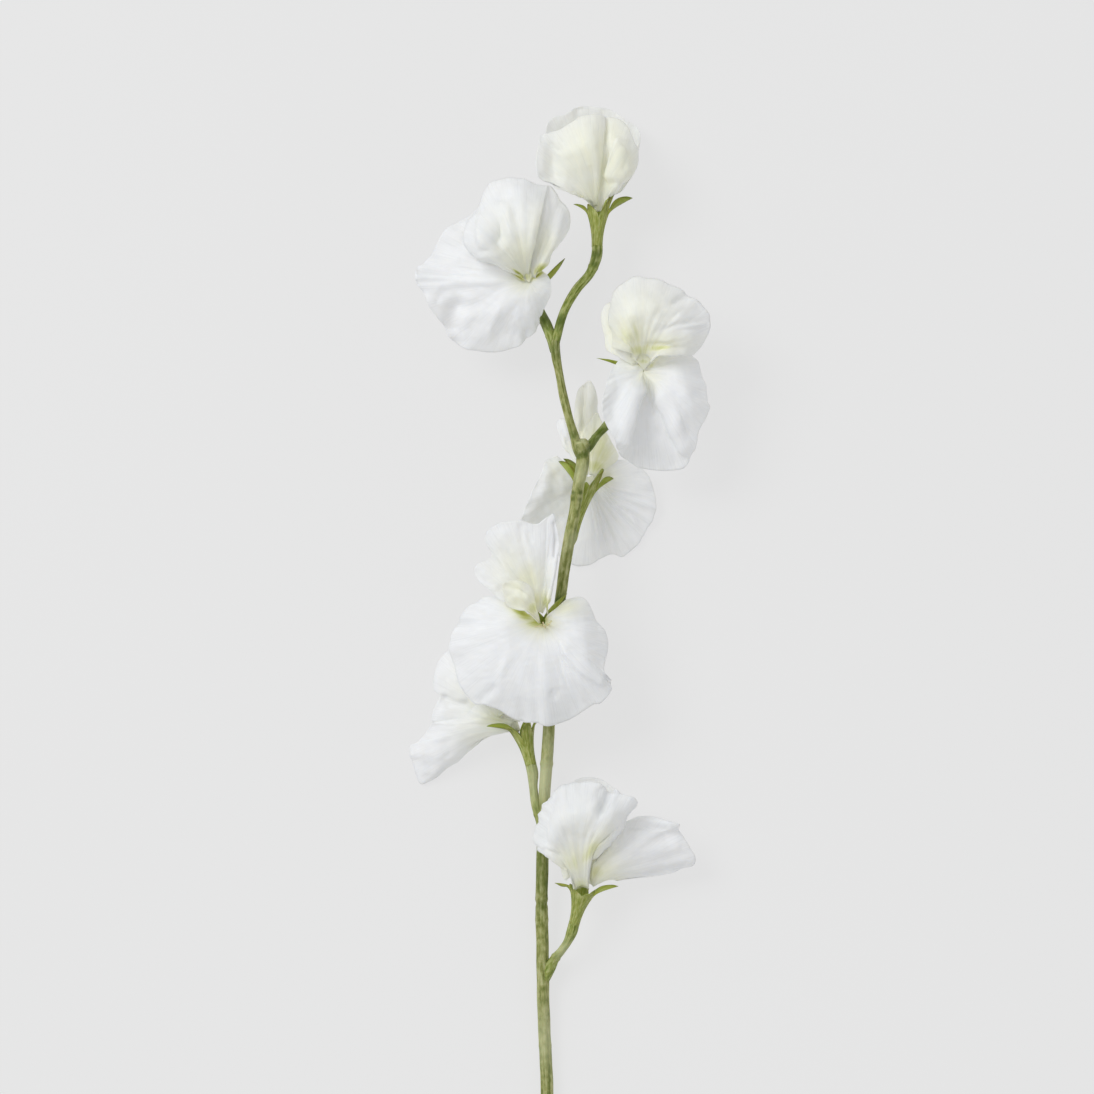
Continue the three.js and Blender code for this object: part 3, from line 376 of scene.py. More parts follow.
petal("flower_2_wing_left", hub=(-5.7, 288.9, 28.6), root=(-5.6, 288.6, 26.8), claw=1.4, ribs=[
    (158, 5.5, 0.8, 1, 0.2), (157, 9.8, 2, 2.6, 0.2), (157, 16.9, 4.4, 6.4, 0.6), (153, 20.5, 5.2, 8.6, 0),
    (146, 22.9, 6, 9.6, -0.6), (137, 24.2, 6.8, 10, -0.8), (126, 25.3, 7.4, 10, -0.6),
    (120, 27.3, 8, 9.8, -0.4), (115, 29.4, 8.4, 9.4, -0.6), (110, 30.6, 8.8, 9.2, -0.4),
    (102, 30.7, 9, 9, 0), (94, 30.1, 9.2, 9.6, 0), (88, 29, 9.2, 10, -1), (82, 28.5, 8.8, 10, -2.4),
    (77, 28.4, 7.6, 9, -3.4),
], shape=[
    fold([(-17.4, 296.4), (-18.9, 302.7), (-17.7, 310.8)], 1.5, 2.2, 2.2, (0.25, 0.3)),
    dome((-13.8, 302.1), (1.6, 4.4), -2.6, 4),
    dome((-13.2, 313.5), (3.4, 1.9), -1.9, 15),
    ridge([(-17.4, 315), (-12.6, 316.8), (-7.2, 317.1)], 1.0, 0.7),
    ridge([(-10.8, 311.7), (-11.4, 304.8), (-9.6, 298.2)], 1.4, 0.7),
    ridge([(-20.4, 298.5), (-13.8, 297)], 0.8, 0.5),
    ridge([(-22.8, 294.6), (-16.2, 295.8), (-10.2, 292.2)], 1.0, 0.5, (0.2, 0.2)),
    pleats(6, 0.12),
], cream=[
    ((-6.3, 295.8), (9.5, 8), 0.95), ((-1.8, 301.2), (5, 10), 0.75), ((-9.3, 302.7), (9, 10), 0.4),
    # The thin spot turned by -36 degrees paints one arm of the V of shade under the hood's lower edge; the
    # flat spot at the hub is partly the base's own green and partly painted shade along that edge.
    ((-5.4, 289.2), (6, 1.8), 1.25), ((-8.1, 290.4), (3, 0.7), 1.9, -36),
])
petal("flower_2_wing_right", hub=(-4.8, 288.6, 27.6), root=(-3.9, 288.6, 26.5), ribs=[
    (95, 27.7, 3, 3.6, -4.6), (88, 27.9, 3.8, 5, -4.2), (83, 28.4, 4.8, 7, -4), (78, 28.8, 5.4, 7.4, -3.8),
    (73, 27.2, 5.6, 7, -3.4), (69, 25.5, 5.6, 6.6, -3.2), (63, 24.3, 5.4, 6.4, -3), (58, 22.4, 5.2, 6.2, -3),
    (53, 19.5, 5, 5.8, -2.6), (52, 16, 4.6, 5.4, -2), (52, 13, 4, 5, -1.6), (49, 9.6, 3, 3.4, -0.6),
    (40, 7, 1.6, 1.8, 0),
], shape=[
    ridge([(1.2, 316.2), (1.8, 308.7), (0, 294.6)], 1.0, -0.7, (0.15, 0.3)),
    fold([(4.2, 311.1), (3.9, 304.8), (1.2, 296.7)], 2.0, 1.4, 0.8),
    ridge([(6, 308.7), (4.2, 301.2)], 0.6, -0.4),
    pleats(7, 0.12),
# The thin strong spot turned by 36 degrees paints one arm of the V of shade under the hood's lower edge.
], cream=[((-0.3, 298.2), (4, 8), 0.8), ((-1.5, 291.9), (3.4, 1.6), 1.7, 36)])
petal("flower_2_keel", hub=(-5.4, 289.4, 27), root=(-5.2, 287.7, 27.6), claw=0.3, ribs=[
    (125, 10, 0.2, 0.4, 0.4), (108, 13, 0.8, 1.4, 1.2), (92, 13, 0.8, 1.4, 1.2), (76, 10, 0.2, 0.4, 0.4),
    (46, 7.3, 0.2, 0.4, 0.4),
], cream=[((-5.7, 292.2), (6, 6), 1.0), ((-6, 289.5), (3.2, 2.2), 1.3)])

# The open blossom on the right, above the fork.
petal("flower_3_standard", hub=(29.7, 261.9, 27), root=(29, 261.4, 26.6), claw=0.15, ribs=[
    (105, 5.9, -0.4, -0.4, -1), (133, 7.4, -0.2, -0.4, -1.4), (149, 7.7, 0, -0.4, -0.6),
    (178, 9.9, 0, 0.4, 0.6), (203, 13, 0, 1.6, 3.6), (220, 17.2, 0, 2.2, 5.2), (233, 19.9, 0.4, 2.8, 4.8),
    (243, 22.5, 1, 3, 3.4), (250, 25, 1, 2.6, 1), (254, 26.5, -0.2, 0.8, -2), (259, 27.5, -1.4, -2.4, -6),
    (265, 28.9, -2, -4, -8), (274, 29.8, -2, -5, -9), (283, 30.8, -2, -5, -9.4), (291, 31.4, -2, -4, -9),
    (295, 30.5, -1, -1.6, -7), (298, 28.9, 0.6, 1.6, -4.6), (302, 28, 1.4, 3, -3.4), (307, 25.9, 2, 4, -2.4),
    (314, 24, 2, 4, -2), (324, 23, 2, 4, -2), (332, 21.3, 1.6, 3.4, -2.6), (344, 18.7, 1, 2, -3),
    (357, 16.8, 1, 1.4, -2.6), (370, 15.8, 0.4, 0.6, -2), (377, 14.4, 0, 0, -2), (395, 9.9, 0, 0, -2),
    (425, 7, -0.4, -0.4, -1.4),
], shape=[
    fold([(29.1, 260.4), (26.1, 253.2), (23.7, 244.8), (21.6, 237.6)], 0.9, 3.2, 3.2, (0.25, 0.15)),
    ridge([(30, 257.7), (28.5, 250.2), (26.4, 238.2)], 1.9, -1.3, (0.3, 0.2)),
    ridge([(23.4, 256.8), (21, 250.8), (19.8, 244.2)], 2.2, -1.2, (0.3, 0.3)),
    fold([(33, 260.1), (34.5, 252.6), (37.8, 245.1), (42.6, 235.2)], 1.9, 1.2, 1.8, (0.3, 0.15)),
    ridge([(36.6, 255.6), (40.8, 247.8), (44.1, 239.4)], 3.0, -1.6, (0.35, 0.25)),
    ridge([(30.3, 259.2), (31.8, 252.6), (32.7, 245.7)], 0.8, -0.9, (0.2, 0.4)),
    dome((39, 259.8), (4, 4), 0.8),
    curl((-20, 0), -1.6, 0.7),
    curl((-215, -160), -1.6, 0.75),
    pleats(5, 0.09, 0.3, 1.1),
    frill(0.35, 9, 0.75),
], cream=[
    # The two thin spots turned by -45 and 40 degrees paint the V of shade under the hood's lower edge; the
    # spot at the root is partly the throat's own green and partly painted shade under the arch.
    ((31.2, 259.2), (3.4, 4.5), 0.6), ((28.8, 265.2), (6, 3.4), 1.2), ((27.3, 264), (3.4, 0.9), 1.35, -45),
    ((31.5, 263.1), (2, 0.8), 1.25, 40),
])
petal("flower_3_wing_right", hub=(28.2, 265.5, 29), root=(28.6, 262.8, 27), claw=1.5, ribs=[
    (2, 15.6, 5, 6, 3), (10, 18.3, 6, 7, 2.4), (18, 20.8, 6.6, 7.8, 1.8), (25, 23, 7.2, 8.2, 1.4),
    (32, 24, 7.8, 8.8, 0.8), (38, 23.7, 8.2, 9.6, 0.4), (46, 23.8, 8.6, 10, 0), (51, 23.5, 8.8, 9.6, -0.4),
    (58, 23.7, 9, 10.4, 0), (66, 23.6, 9, 11, 0), (75, 23.6, 9, 11.6, 0), (84, 23.8, 9, 12, 0),
    (93, 24, 9, 12, 0), (99, 23.5, 9, 12, 0), (106, 22.3, 9, 11.6, 0), (114, 20.3, 8.6, 10.6, 0),
    (121, 17.9, 8, 9, 0), (130, 14.5, 7.2, 8, 0.4), (144, 10.7, 6, 7, 1), (162, 8.5, 4, 4.6, 1.6),
], shape=[
    ridge([(44.1, 284.4), (40.2, 283.2), (35.4, 279.6)], 1.4, -1.5, (0.3, 0.5)),
    ridge([(45, 281.4), (40.2, 280.2), (34.8, 277.2)], 1.2, 0.6, (0.2, 0.5)),
    ridge([(48, 276.6), (42.6, 275.7), (34.8, 273.6), (29.7, 270.9)], 1.1, -0.9, (0.3, 0.5)),
    ridge([(48, 273.9), (41.7, 273.6), (35.7, 272.4)], 0.9, -0.6, (0.3, 0.5)),
    ridge([(48, 275.4), (43.2, 274.5), (37.8, 273.6)], 0.5, 0.4, (0.1, 0.4)),
    ridge([(41.4, 266.7), (36.6, 268.5), (32.7, 269.1), (28.2, 268.2)], 1.1, -1.1, (0.2, 0.15)),
    dome((26.1, 279.6), (2.6, 2), -0.5),
    ridge([(20.4, 277.8), (21.6, 271.8), (22.8, 267.6)], 1.0, -0.5),
    ridge([(43.2, 271.2), (36.6, 270.6), (30.6, 269.7)], 0.8, 0.4),
    pleats(6, 0.12),
    frill(0.4, 8, 0.75),
], cream=[
    # The thin spot turned by 4 degrees and the flat spots along the lower margin paint the shade under the
    # hood's arched lower edge, over the petal's own cream.
    ((24.6, 271.8), (9, 8), 1.15), ((28.2, 278.7), (12, 9), 0.6), ((32.7, 269.1), (10, 4), 1.05),
    ((33.6, 267.9), (7, 0.9), 1.45, 4), ((27.6, 267.6), (6, 2.8), 1.3),
])
petal("flower_3_wing_left", hub=(23.4, 264.6, 28.6), root=(26.6, 262.8, 28), ribs=[
    (151, 6.2, 0, 0, -1.4), (132, 8.9, 0, -0.6, -2), (123, 12.1, 0.4, -0.8, -2.6),
    (116, 15.7, 0.8, -0.6, -3), (110, 17.6, 1, -0.4, -3.2), (103, 18.2, 1, -0.4, -3.6),
    (95, 19, 1, -0.6, -4), (86, 18.9, 1, -0.8, -4.6),
], shape=[
    ridge([(18, 280.2), (19.5, 272.7), (21, 267.6)], 0.9, -0.6),
], cream=[((19.2, 272.7), (5, 10), 0.8)])
petal("flower_3_keel", hub=(29.1, 262.5, 28.8), root=(29.1, 261.8, 27.7), claw=0.15, ribs=[
    (143, 6, 0.2, 0.2, -0.4), (121, 6.3, 0.6, 1, 0.6), (93, 6.6, 1, 1.6, 1.4), (67, 6.2, 0.8, 1.2, 0.8),
    (36, 5.2, 0.2, 0.2, -0.4),
], shape=[
    ridge([(29.1, 263.4), (28.8, 268.2)], 0.9, -0.5),
], cream=[((28.8, 266.1), (7, 6), 1.0), ((28.8, 264.3), (3, 1.2), 1.3)])

# The blossom seen from behind, under the fork.
petal("flower_4_standard", hub=(12.6, 229.2, 8.4), root=(12.8, 231.2, 6.4), ribs=[
    (41, 8.7, 0, 0, 0), (29, 12.7, -0.4, -0.6, -1), (18, 15.5, -1, -1, -2), (8, 17.6, -1, -1.6, -3),
    (-4, 19.6, -1, -2, -4), (-17, 21.6, -1.6, -2.6, -5), (-28, 22.8, -2, -3, -6),
    (-39, 23.2, -2, -3.6, -6.6), (-49, 24.2, -2, -4, -7), (-57, 25.1, -2.4, -4.4, -7.2),
    (-62, 25.2, -3, -5, -7.2), (-66, 25.3, -3, -5, -7.4), (-71, 23.4, -3, -5, -7.6),
    (-77, 23.4, -3, -5, -7.6), (-84, 24.7, -3, -5, -7.4), (-91, 25.8, -3, -4.6, -7.2),
    (-99, 25.8, -3, -4, -7), (-108, 24.7, -3, -4, -5.6), (-124, 22.9, -2.4, -2.8, -3),
    (-140, 21.9, -1.6, -1, 0), (-149, 23.9, -0.8, 0.8, 3.4), (-156, 21, -0.2, 1.6, 4.4),
    (-168, 17.2, 0, 2, 4.8), (-186, 14.5, 0, 1.4, 3), (-207, 13.8, -0.4, 0, 0.6),
    (-217, 11.7, -0.8, -0.8, -0.8),
], shape=[
    pleats(10, 0.42, 0.3, 1.4, (-88, -10)),
    pleats(2, 0.25, 0.4, 1.4, (-80, 0), 1.0),
    
    ridge([(19.2, 226.2), (25.2, 220.2), (28.5, 211.8)], 1.2, 0.6),
    dome((26.4, 218.7), (4, 3), -0.7, -50),
    fold([(0.9, 235.5), (-0.6, 226.8), (-3.9, 220.8), (-6.9, 217.2)], 2.4, 1.4, 0.7, (0.2, 0.1)),
    frill(0.5, 10, 0.75),
], cream=[((16.8, 230.4), (5, 3.6), 0.9), ((2.4, 232.2), (3, 5), 0.4)])
petal("flower_4_wing_left", hub=(8.7, 234.9, 8), root=(10.8, 229.6, 11.2), ribs=[
    (127, 6, 1, 0, -1), (120, 10.1, 1, 1, 0), (117, 12.5, 1, 1.4, 0.4), (108, 13.7, 1, 2, 1),
    (101, 12.5, 1, 1.6, 0.8), (96, 11.2, 1, 1, 0),
], shape=[
    ridge([(4.2, 246), (7.2, 238.8)], 0.8, -0.4),
], cream=[((7.2, 238.2), (3, 3), 0.5)])
petal("flower_4_wing_right", hub=(13.8, 231, 9.6), root=(13.4, 229.2, 11.4), claw=1.6, ribs=[
    (103, 11.7, -0.6, -1, -1), (90, 16.8, 0.8, 1.4, 1.6), (85, 18.7, 0.8, 1.4, 1.6), (81, 16.7, 1, 1.4, 1.4),
    (72, 13.6, 1, 1.2, 1.2), (58, 11.3, 1, 1, 1), (43, 10.2, 1, 0.6, 0.6), (34, 9.7, 0.6, 0.2, 0),
    (28, 8.2, 0.6, 0.2, -0.4), (22, 5.5, 0.4, 0, -0.6),
], shape=[
    ridge([(16.2, 247.8), (17.1, 241.2), (15.6, 235.2)], 1.2, 0.6),
], cream=[((16.2, 238.8), (9, 12), 1.2), ((15, 233.4), (5, 4), 1.35)])
petal("flower_4_keel", hub=(12.2, 236.4, 7), root=(12.4, 229.8, 11.6), ribs=[
    (119, 7.9, 0, 0.6, 1), (108, 12, 0.4, 1.2, 2), (102, 16.6, 1, 2.2, 3.4), (97, 20.3, 1.2, 3, 4.6),
    (92, 21.6, 1.4, 3.6, 5.2), (88, 22.8, 1.4, 4, 5.4), (84, 21.1, 1.2, 3.4, 4.8), (79, 17.4, 0.8, 1.8, 2.6),
    (76, 13.6, 0, 0, 0),
], shape=[
    ridge([(11.7, 258.6), (11.1, 250.2), (11.4, 241.8)], 0.7, -1.0, (0.1, 0.2)),
    ridge([(13.8, 256.2), (13.5, 245.7)], 1.2, 0.5),
], cream=[((10.5, 248.7), (3, 10), 0.35), ((11.7, 241.2), (5, 4), 0.7)])

# The largest blossom, with its throat open.
petal("flower_5_standard", hub=(-1.5, 187.2, 31.6), root=(-1, 187, 28.8), ribs=[
    (152, 11.5, 0, -0.6, -2.6), (153, 15.4, 0, -1, -4), (157, 17.9, 0, -1.4, -5), (165, 20.5, 0, -1.6, -6),
    (173, 23, 0, -2, -7), (181, 24.9, 0, -2.6, -8), (189, 27, 0, -3, -9), (197, 28.6, 0, -3, -9.6),
    (206, 29.4, 0, -3, -10), (214, 30.3, 0, -3, -10), (221, 31, 0, -3, -10), (226, 31.6, 0, -3, -9.6),
    (232, 31.8, 0, -2.6, -9), (237, 30, 0, -2.2, -7.6), (245, 29.4, 0, -2, -8), (252, 30.3, 0, -2, -8.8),
    (258, 30.9, 0, -2, -9), (266, 30.8, 0, -1.6, -8), (273, 31.3, 0, -1, -7.4), (281, 30.8, 0, -1.6, -8.4),
    (287, 30.5, 0, -2, -9), (295, 29.5, 0, -1.2, -8), (301, 29.7, 0, -0.6, -6.6), (306, 30.3, 0, 0, -5),
    (313, 29.7, 0, 0.6, -4.6), (317, 28.9, 0, 1, -4.4), (319, 27, 0, 1, -3.8), (320, 24.5, 0, 1, -3),
    (328, 22.6, 0, 1, -4.2), (339, 21.2, 0, 1, -5.6), (349, 19.5, 0, 0.8, -5.6), (359, 17.1, 0, 0.4, -5),
    (370, 15.5, 0, 0.2, -4.4), (381, 14.8, 0, 0, -3.6), (390, 13.8, 0, 0, -3), (396, 11.8, 0, 0, -2.4),
    (400, 9.4, 0, 0, -2),
], shape=[
    fold([(3.3, 183.6), (6, 177.6), (10.8, 172.2), (17.4, 168)], 2.2, 0.9, 1.3, (0.3, 0.1)),
    ridge([(3.3, 181.8), (5.4, 175.2), (10.2, 168.6)], 0.6, -0.8, (0.3, 0.4)),
    ridge([(3, 178.2), (4.8, 171.6), (7.2, 166.2)], 0.6, -0.5),
    curl((-38, 30), -2.2, 0.72, 14),
    ridge([(-7.5, 166.2), (-6.9, 156.6)], 2.0, -0.9, (0.5, 0.05)),
    ridge([(-12.9, 168), (-17.4, 165.6), (-20.4, 162.3)], 1.4, -0.8, (0.4, 0.05)),
    ridge([(0.9, 166.2), (4.2, 165)], 1.4, -0.5),
    ridge([(-24, 181.2), (-16.8, 184.8), (-9.3, 186.6)], 1.8, 0.5),
    ridge([(-10.2, 181.2), (-13.8, 169.2), (-13.8, 161.7)], 1.2, 0.4),
    pleats(8, 0.26, 0.3, 1.15, (-125, -40)),
    pleats(5, 0.12, 0.15, 1.1, (-205, -125)),
    curl((-190, -150), -0.8, 0.85),
    frill(0.4, 10, 0.7),
], cream=[
    # The strong spots near the root paint the throat: partly its own green and olive, and partly painted
    # shade in its pit.
    ((-3.3, 184.8), (5, 2.4), 0.7), ((5.1, 191.4), (5.4, 3.2), 1.05), ((-7.2, 189.6), (6, 2.4), 1.75, -38),
    ((-2.4, 186.6), (5.4, 2.6), 1.6), ((-1.8, 187.5), (3.2, 2), 2),
])
petal("flower_5_wing_left", hub=(-1.5, 189.6, 31.4), root=(-2, 188.2, 29), claw=1.6, ribs=[
    (163, 11.6, 2, 3, 4), (157, 16, 1.4, 3, 3), (154, 19.7, 1, 2.6, 1.8), (150, 22.7, 1, 2, 1),
    (146, 23.8, 1, 2.2, 1.4), (140, 23.3, 1, 2.6, 1.8), (136, 22.4, 1, 3, 2.2), (131, 22.5, 1, 3.2, 2.8),
    (129, 25, 1, 3.7, 3.2), (127, 27.5, 1, 4, 3), (124, 28.8, 1, 4.2, 3.6), (120, 29.2, 1, 4.6, 4.6),
    (114, 29.3, 1, 5, 5), (108, 28.6, 1, 5, 5.4), (102, 28, 1, 5, 5.6), (97, 26.8, 1, 4.6, 5.6),
    (92, 26.4, 1, 4.4, 5.4), (87, 28.2, 1, 4.2, 5.4), (83, 29, 0.8, 4, 5), (80, 25, 0.6, 3.6, 4.4),
    (76, 16.1, 0.6, 2.4, 3.4), (65, 7.9, 0.4, 1.2, 1.6), (48, 4, 0.2, 0.6, 0.6),
], shape=[
    dome((-11.4, 206.4), (5, 4), -1.1, 60),
    ridge([(-4.8, 203.7), (-7.2, 211.2), (-7.8, 216.3)], 0.9, -0.7, (0.3, 0.1)),
    ridge([(-8.4, 205.2), (-11.7, 211.2), (-13.8, 215.4)], 1.6, 0.9),
    ridge([(-3.9, 209.7), (-5.7, 214.2)], 0.7, -0.5),
    ridge([(-13.8, 195.6), (-17.4, 199.8), (-20.4, 202.2)], 1.6, 0.6),
    pleats(5, 0.15),
], cream=[
    ((-5.4, 199.8), (5, 6), 0.95), ((-10.8, 203.4), (7, 8), 0.55), ((-3.6, 193.2), (4, 4), 1.1),
    ((0.3, 193.2), (3, 4), 1.3),
])
petal("flower_5_wing_right", hub=(-0.6, 189.3, 32.4), root=(0.2, 188.2, 29), claw=1.0, ribs=[
    (88, 27.9, 1.4, 4.6, 6), (85, 29.8, 1.8, 5, 6.4), (83, 28.4, 2.4, 5.6, 6), (80, 24.7, 3, 5.6, 5.4),
    (77, 21, 3.4, 5.6, 5), (76, 17, 3.4, 5.6, 5), (74, 12.8, 3.4, 5.2, 5), (70, 8, 2.6, 4.4, 4),
], shape=[
    ridge([(2.4, 217.2), (3, 211.2), (2.4, 204.6)], 0.9, -1.2, (0.1, 0.2)),
    ridge([(0.6, 214.2), (0.3, 205.2)], 1.0, 0.6),
    pleats(5, 0.12),
], cream=[((0.6, 200.7), (2.6, 5), 0.3), ((0, 192), (3, 4.4), 1.4)])
petal("flower_5_keel", hub=(-2.4, 188.8, 34), root=(-1.6, 186.2, 29.6), claw=0.5, ribs=[
    (164, 9.7, 2, 2.6, 2), (150, 11.4, 2, 3, 3), (140, 13.8, 3, 4.4, 4.6), (128, 13.1, 3, 5.4, 5),
    (119, 11.9, 3, 5.6, 5), (108, 10, 2.4, 4, 4), (101, 7.6, 2, 3, 3),
], shape=[
    ridge([(-12.6, 198), (-9.6, 196.8), (-4.8, 195.6)], 0.7, -0.9, (0.05, 0.2)),
    fold([(-12, 192.3), (-8.4, 195), (-4.5, 193.2)], 0.7, 1.6, 0.8, (0.15, 0.2)),
    ridge([(-10.8, 198.9), (-8.1, 196.8), (-5.4, 192.3)], 0.6, -0.5, (0.1, 0.3)),
], cream=[((-7.8, 193.2), (7, 4), 0.8), ((-9.6, 197.7), (4, 2), 0.9), ((-3.9, 191.1), (2.4, 3), 1.4)])

# The blossom seen from its side, on the left.
petal("flower_6_standard", hub=(-13.8, 156.6, 11), root=(-8.6, 155, 10.6), claw=1.8, ribs=[
    (-120, 4.2, -1, -1, -2), (-134, 8.3, -1.6, -2.6, -4), (-136, 12.5, -2, -4, -6),
    (-136, 17.4, -2.4, -5, -8), (-138, 21.9, -2.8, -6, -9.4), (-139, 26.2, -3, -6.6, -10.2),
    (-141, 30.7, -1.6, -5.2, -10), (-148, 30.1, -0.6, -3.6, -9.4), (-155, 29.4, 0.4, -2.2, -8.4),
    (-164, 28.7, 1, -1, -6.8), (-166, 25.6, 1.4, -0.2, -5.4), (-170, 23.2, 1.5, 0.3, -4.2),
    (-176, 21.1, 1.6, 0.7, -2.6), (-179, 20.1, 1.8, 1.1, -1.4), (-182, 15, 2, 1.6, -0.2),
    (-187, 11.5, 2, 1.8, 0.5), (-200, 9.6, 2.4, 2.4, 1), (-219, 8.5, 2, 2, 1), (-241, 5.5, 1.4, 1.6, 1),
    (-294, 3.6, 1, 1, 0.6),
], shape=[
    fold([(-16.8, 155.4), (-24.3, 151.5), (-30.3, 147), (-35.4, 141.6)], 2.2, 2.6, 0.5, (0.3, 0.2)),
    ridge([(-33.6, 155.1), (-27.3, 155.4), (-21.3, 157.2)], 1.6, 0.35),
    ridge([(-40.5, 147.6), (-37.8, 146.1), (-36, 139.8)], 1.6, 0.8, (0.1, 0.2)),
    ridge([(-30.6, 151.8), (-28.8, 145.2)], 2.0, -0.6),
    pleats(5, 0.1, 0.3, 1.2),
], cream=[((-19.8, 153.3), (8, 6), 0.5), ((-14.7, 157.5), (7, 5), 1.1)])
petal("flower_6_wing_left", hub=(-8.1, 155.7, 8.6), root=(-8.4, 153, 8.4), ribs=[
    (179, 26.4, 0, -1.6, -3.4), (172, 26.4, 0.4, -1, -3), (161, 25.4, 0.6, -0.6, -3),
    (158, 27.9, 0.8, 0, -3), (150, 29.6, 1, 1, -2.6), (142, 31, 1.4, 2, -2), (134, 31, 2, 2.4, -1.6),
    (126, 31.6, 2.6, 3, -1), (118, 31, 3, 3, -0.6), (109, 28.8, 2, 3, 0), (103, 26.1, 1.4, 2.4, 0),
], shape=[
    fold([(-22.8, 161.4), (-28.2, 162), (-31.8, 163.5)], 1.0, 1.6, -0.8, (0.2, 0.1)),
    ridge([(-23.4, 161.7), (-27.3, 166.2), (-29.4, 171.6)], 1.6, 0.6),
    ridge([(-30.6, 163.2), (-30.9, 158.4)], 1.2, 0.5),
    pleats(4, 0.12),
], cream=[((-26.4, 166.2), (5, 7), 0.3), ((-19.8, 161.7), (6, 5), 0.5)])
petal("flower_6_wing_right", hub=(-6.8, 155.4, 9), root=(-6.2, 153, 8.4), claw=3.2, ribs=[
    (100, 18, -1, -2, -5), (88, 21, 0, -1, -4), (74, 19, 0, -1, -4), (60, 13, -1, -2, -4),
], cream=[((-7.8, 159.6), (8, 8), 1.3)])
petal("flower_6_keel", hub=(-8.1, 155.6, 6.6), root=(-7.4, 153, 7), ribs=[
    (170, 10, -1, -2, -2), (150, 14, 0, -1, -2), (132, 14, 0, -1, -2), (114, 10, -1, -2, -2),
])

# The lowest blossom, on the right.
petal("flower_7_standard", hub=(10, 108, 14), root=(13.2, 107, 12.6), ribs=[
    (5, 17.4, -3, -4.4, -5), (5, 22.8, -3, -5, -5.6), (6, 28, -3, -5, -6), (8, 31.7, -2.6, -4.6, -5.6),
    (9, 34.9, -1.6, -3, -4.6), (13, 35.8, -0.6, -1.4, -2.4), (18, 35, 0.4, 0, -1), (24, 34.4, 1, 1, 0),
    (29, 34, 1.6, 1.6, 1.4), (31, 35.1, 2, 2, 3), (34, 33.3, 2, 2.6, 2.6), (39, 31.3, 2, 3, 1.6),
    (44, 29.3, 1.8, 3, 1), (48, 27, 1.4, 2.2, 0), (51, 24.4, 1, 1.6, -1), (53, 22.6, 1, 1, -2),
    (59, 20.3, -1, -1.6, -4.4), (65, 17.1, 0, 0, -2.6), (76, 13, 0.6, 1, -0.6), (94, 10.8, 0.6, 1, -0.4),
], shape=[
    fold([(22.2, 125.1), (28.2, 126.9), (34.2, 126.6), (39.3, 125.7)], 0.8, 1.4, 1.0, (0.1, 0.1)),
    ridge([(24.6, 124.8), (30.6, 125.4), (36.6, 124.5)], 0.8, -0.9, (0.1, 0.1)),
    dome((35.4, 121.8), (3.4, 2.6), -1.2, -20),
    ridge([(16.2, 112.8), (28.2, 118.8), (41.4, 119.4)], 2.2, 0.8, (0.3, 0.1)),
    ridge([(19.8, 109.5), (31.2, 111.3), (43.2, 114)], 0.8, -0.6, (0.1, 0.05)),
    ridge([(16.2, 111.6), (22.2, 119.7), (28.2, 123.6)], 2.0, -0.5),
    pleats(8, 0.14, 0.3, 1.3),
], cream=[((14.4, 111.6), (9, 5), 1.15), ((17.4, 117.6), (4, 6), 0.7, 30)])
petal("flower_7_wing_left", hub=(9.3, 111.6, 16), root=(10.9, 104.6, 15), claw=2.5, ribs=[
    (-144, 4.1, 0.4, 0.6, 0.2), (-199, 5.4, 1.6, 2.4, 0.6), (-207, 9.1, 2, 3, 1), (-208, 12.2, 2.6, 4, 0.8),
    (-212, 14.7, 3.2, 5, 0.6), (-219, 16.9, 3.8, 6, 0.8), (-229, 18.7, 4.6, 7.4, 1.4),
    (-238, 21.5, 5.6, 9, 2.4), (-247, 23.8, 6.6, 10.6, 3.4), (-254, 25.6, 7.4, 12, 4.4),
    (-260, 26.6, 8, 13, 5.4), (-269, 27.3, 8, 13.6, 6.4), (-277, 27.8, 8, 14, 7.2), (-283, 27.9, 8, 14, 8),
    (-286, 27.5, 8, 13.6, 8), (-291, 26.4, 8, 13, 6.6), (-294, 27.9, 8, 13, 8.4), (-299, 27.4, 8, 12.4, 8.6),
    (-304, 28, 7.4, 11.6, 8.6), (-308, 28.5, 7, 10.6, 8.4), (-311, 26.8, 6.2, 9.4, 6.4),
    (-312, 22.9, 5.6, 8.6, 5.4), (-323, 11.3, 0.8, 0.9, -0.4),
], shape=[
    ridge([(2.7, 136.2), (-0.3, 129.6), (-1.2, 121.8), (0, 118.2)], 1.3, -1.8, (0.15, 0.15)),
    ridge([(6, 133.2), (3, 126.6), (1.8, 119.7)], 2.4, 0.7),
    ridge([(20.1, 136.8), (18, 132.3), (15, 128.7)], 1.3, -1.5, (0.05, 0.4)),
    ridge([(16.5, 137.7), (15, 133.8)], 0.9, -0.7, (0.05, 0.4)),
    ridge([(21.6, 134.1), (18.6, 127.8), (15, 120.6)], 1.4, 0.7),
    ridge([(-1.8, 118.5), (1.8, 117.9), (5.4, 116.4)], 0.7, -0.7, (0.1, 0.3)),
    dome((6.6, 123.6), (4, 2), -0.5, -10),
    pleats(6, 0.09),
    frill(0.3, 8, 0.8),
], cream=[
    ((8.1, 114.6), (6, 7), 1.1), ((13.2, 118.2), (9, 3), 1.2, 55), ((10.2, 122.7), (8, 8), 0.4),
    ((10.2, 108), (5, 3.6), 1.15),
])
petal("flower_7_wing_right", hub=(9.8, 108, 12.6), root=(10.4, 104.8, 12), claw=3, ribs=[
    (102, 27, -3, -6, -5), (90, 31, -5, -11.2, -9), (77, 31.6, -5, -11.6, -10), (64, 28, -5, -10, -8),
    (52, 21, -3, -5, -6),
], cream=[((16.2, 118.2), (8, 8), 1.1), ((12.6, 109.2), (6, 5), 1.4)])
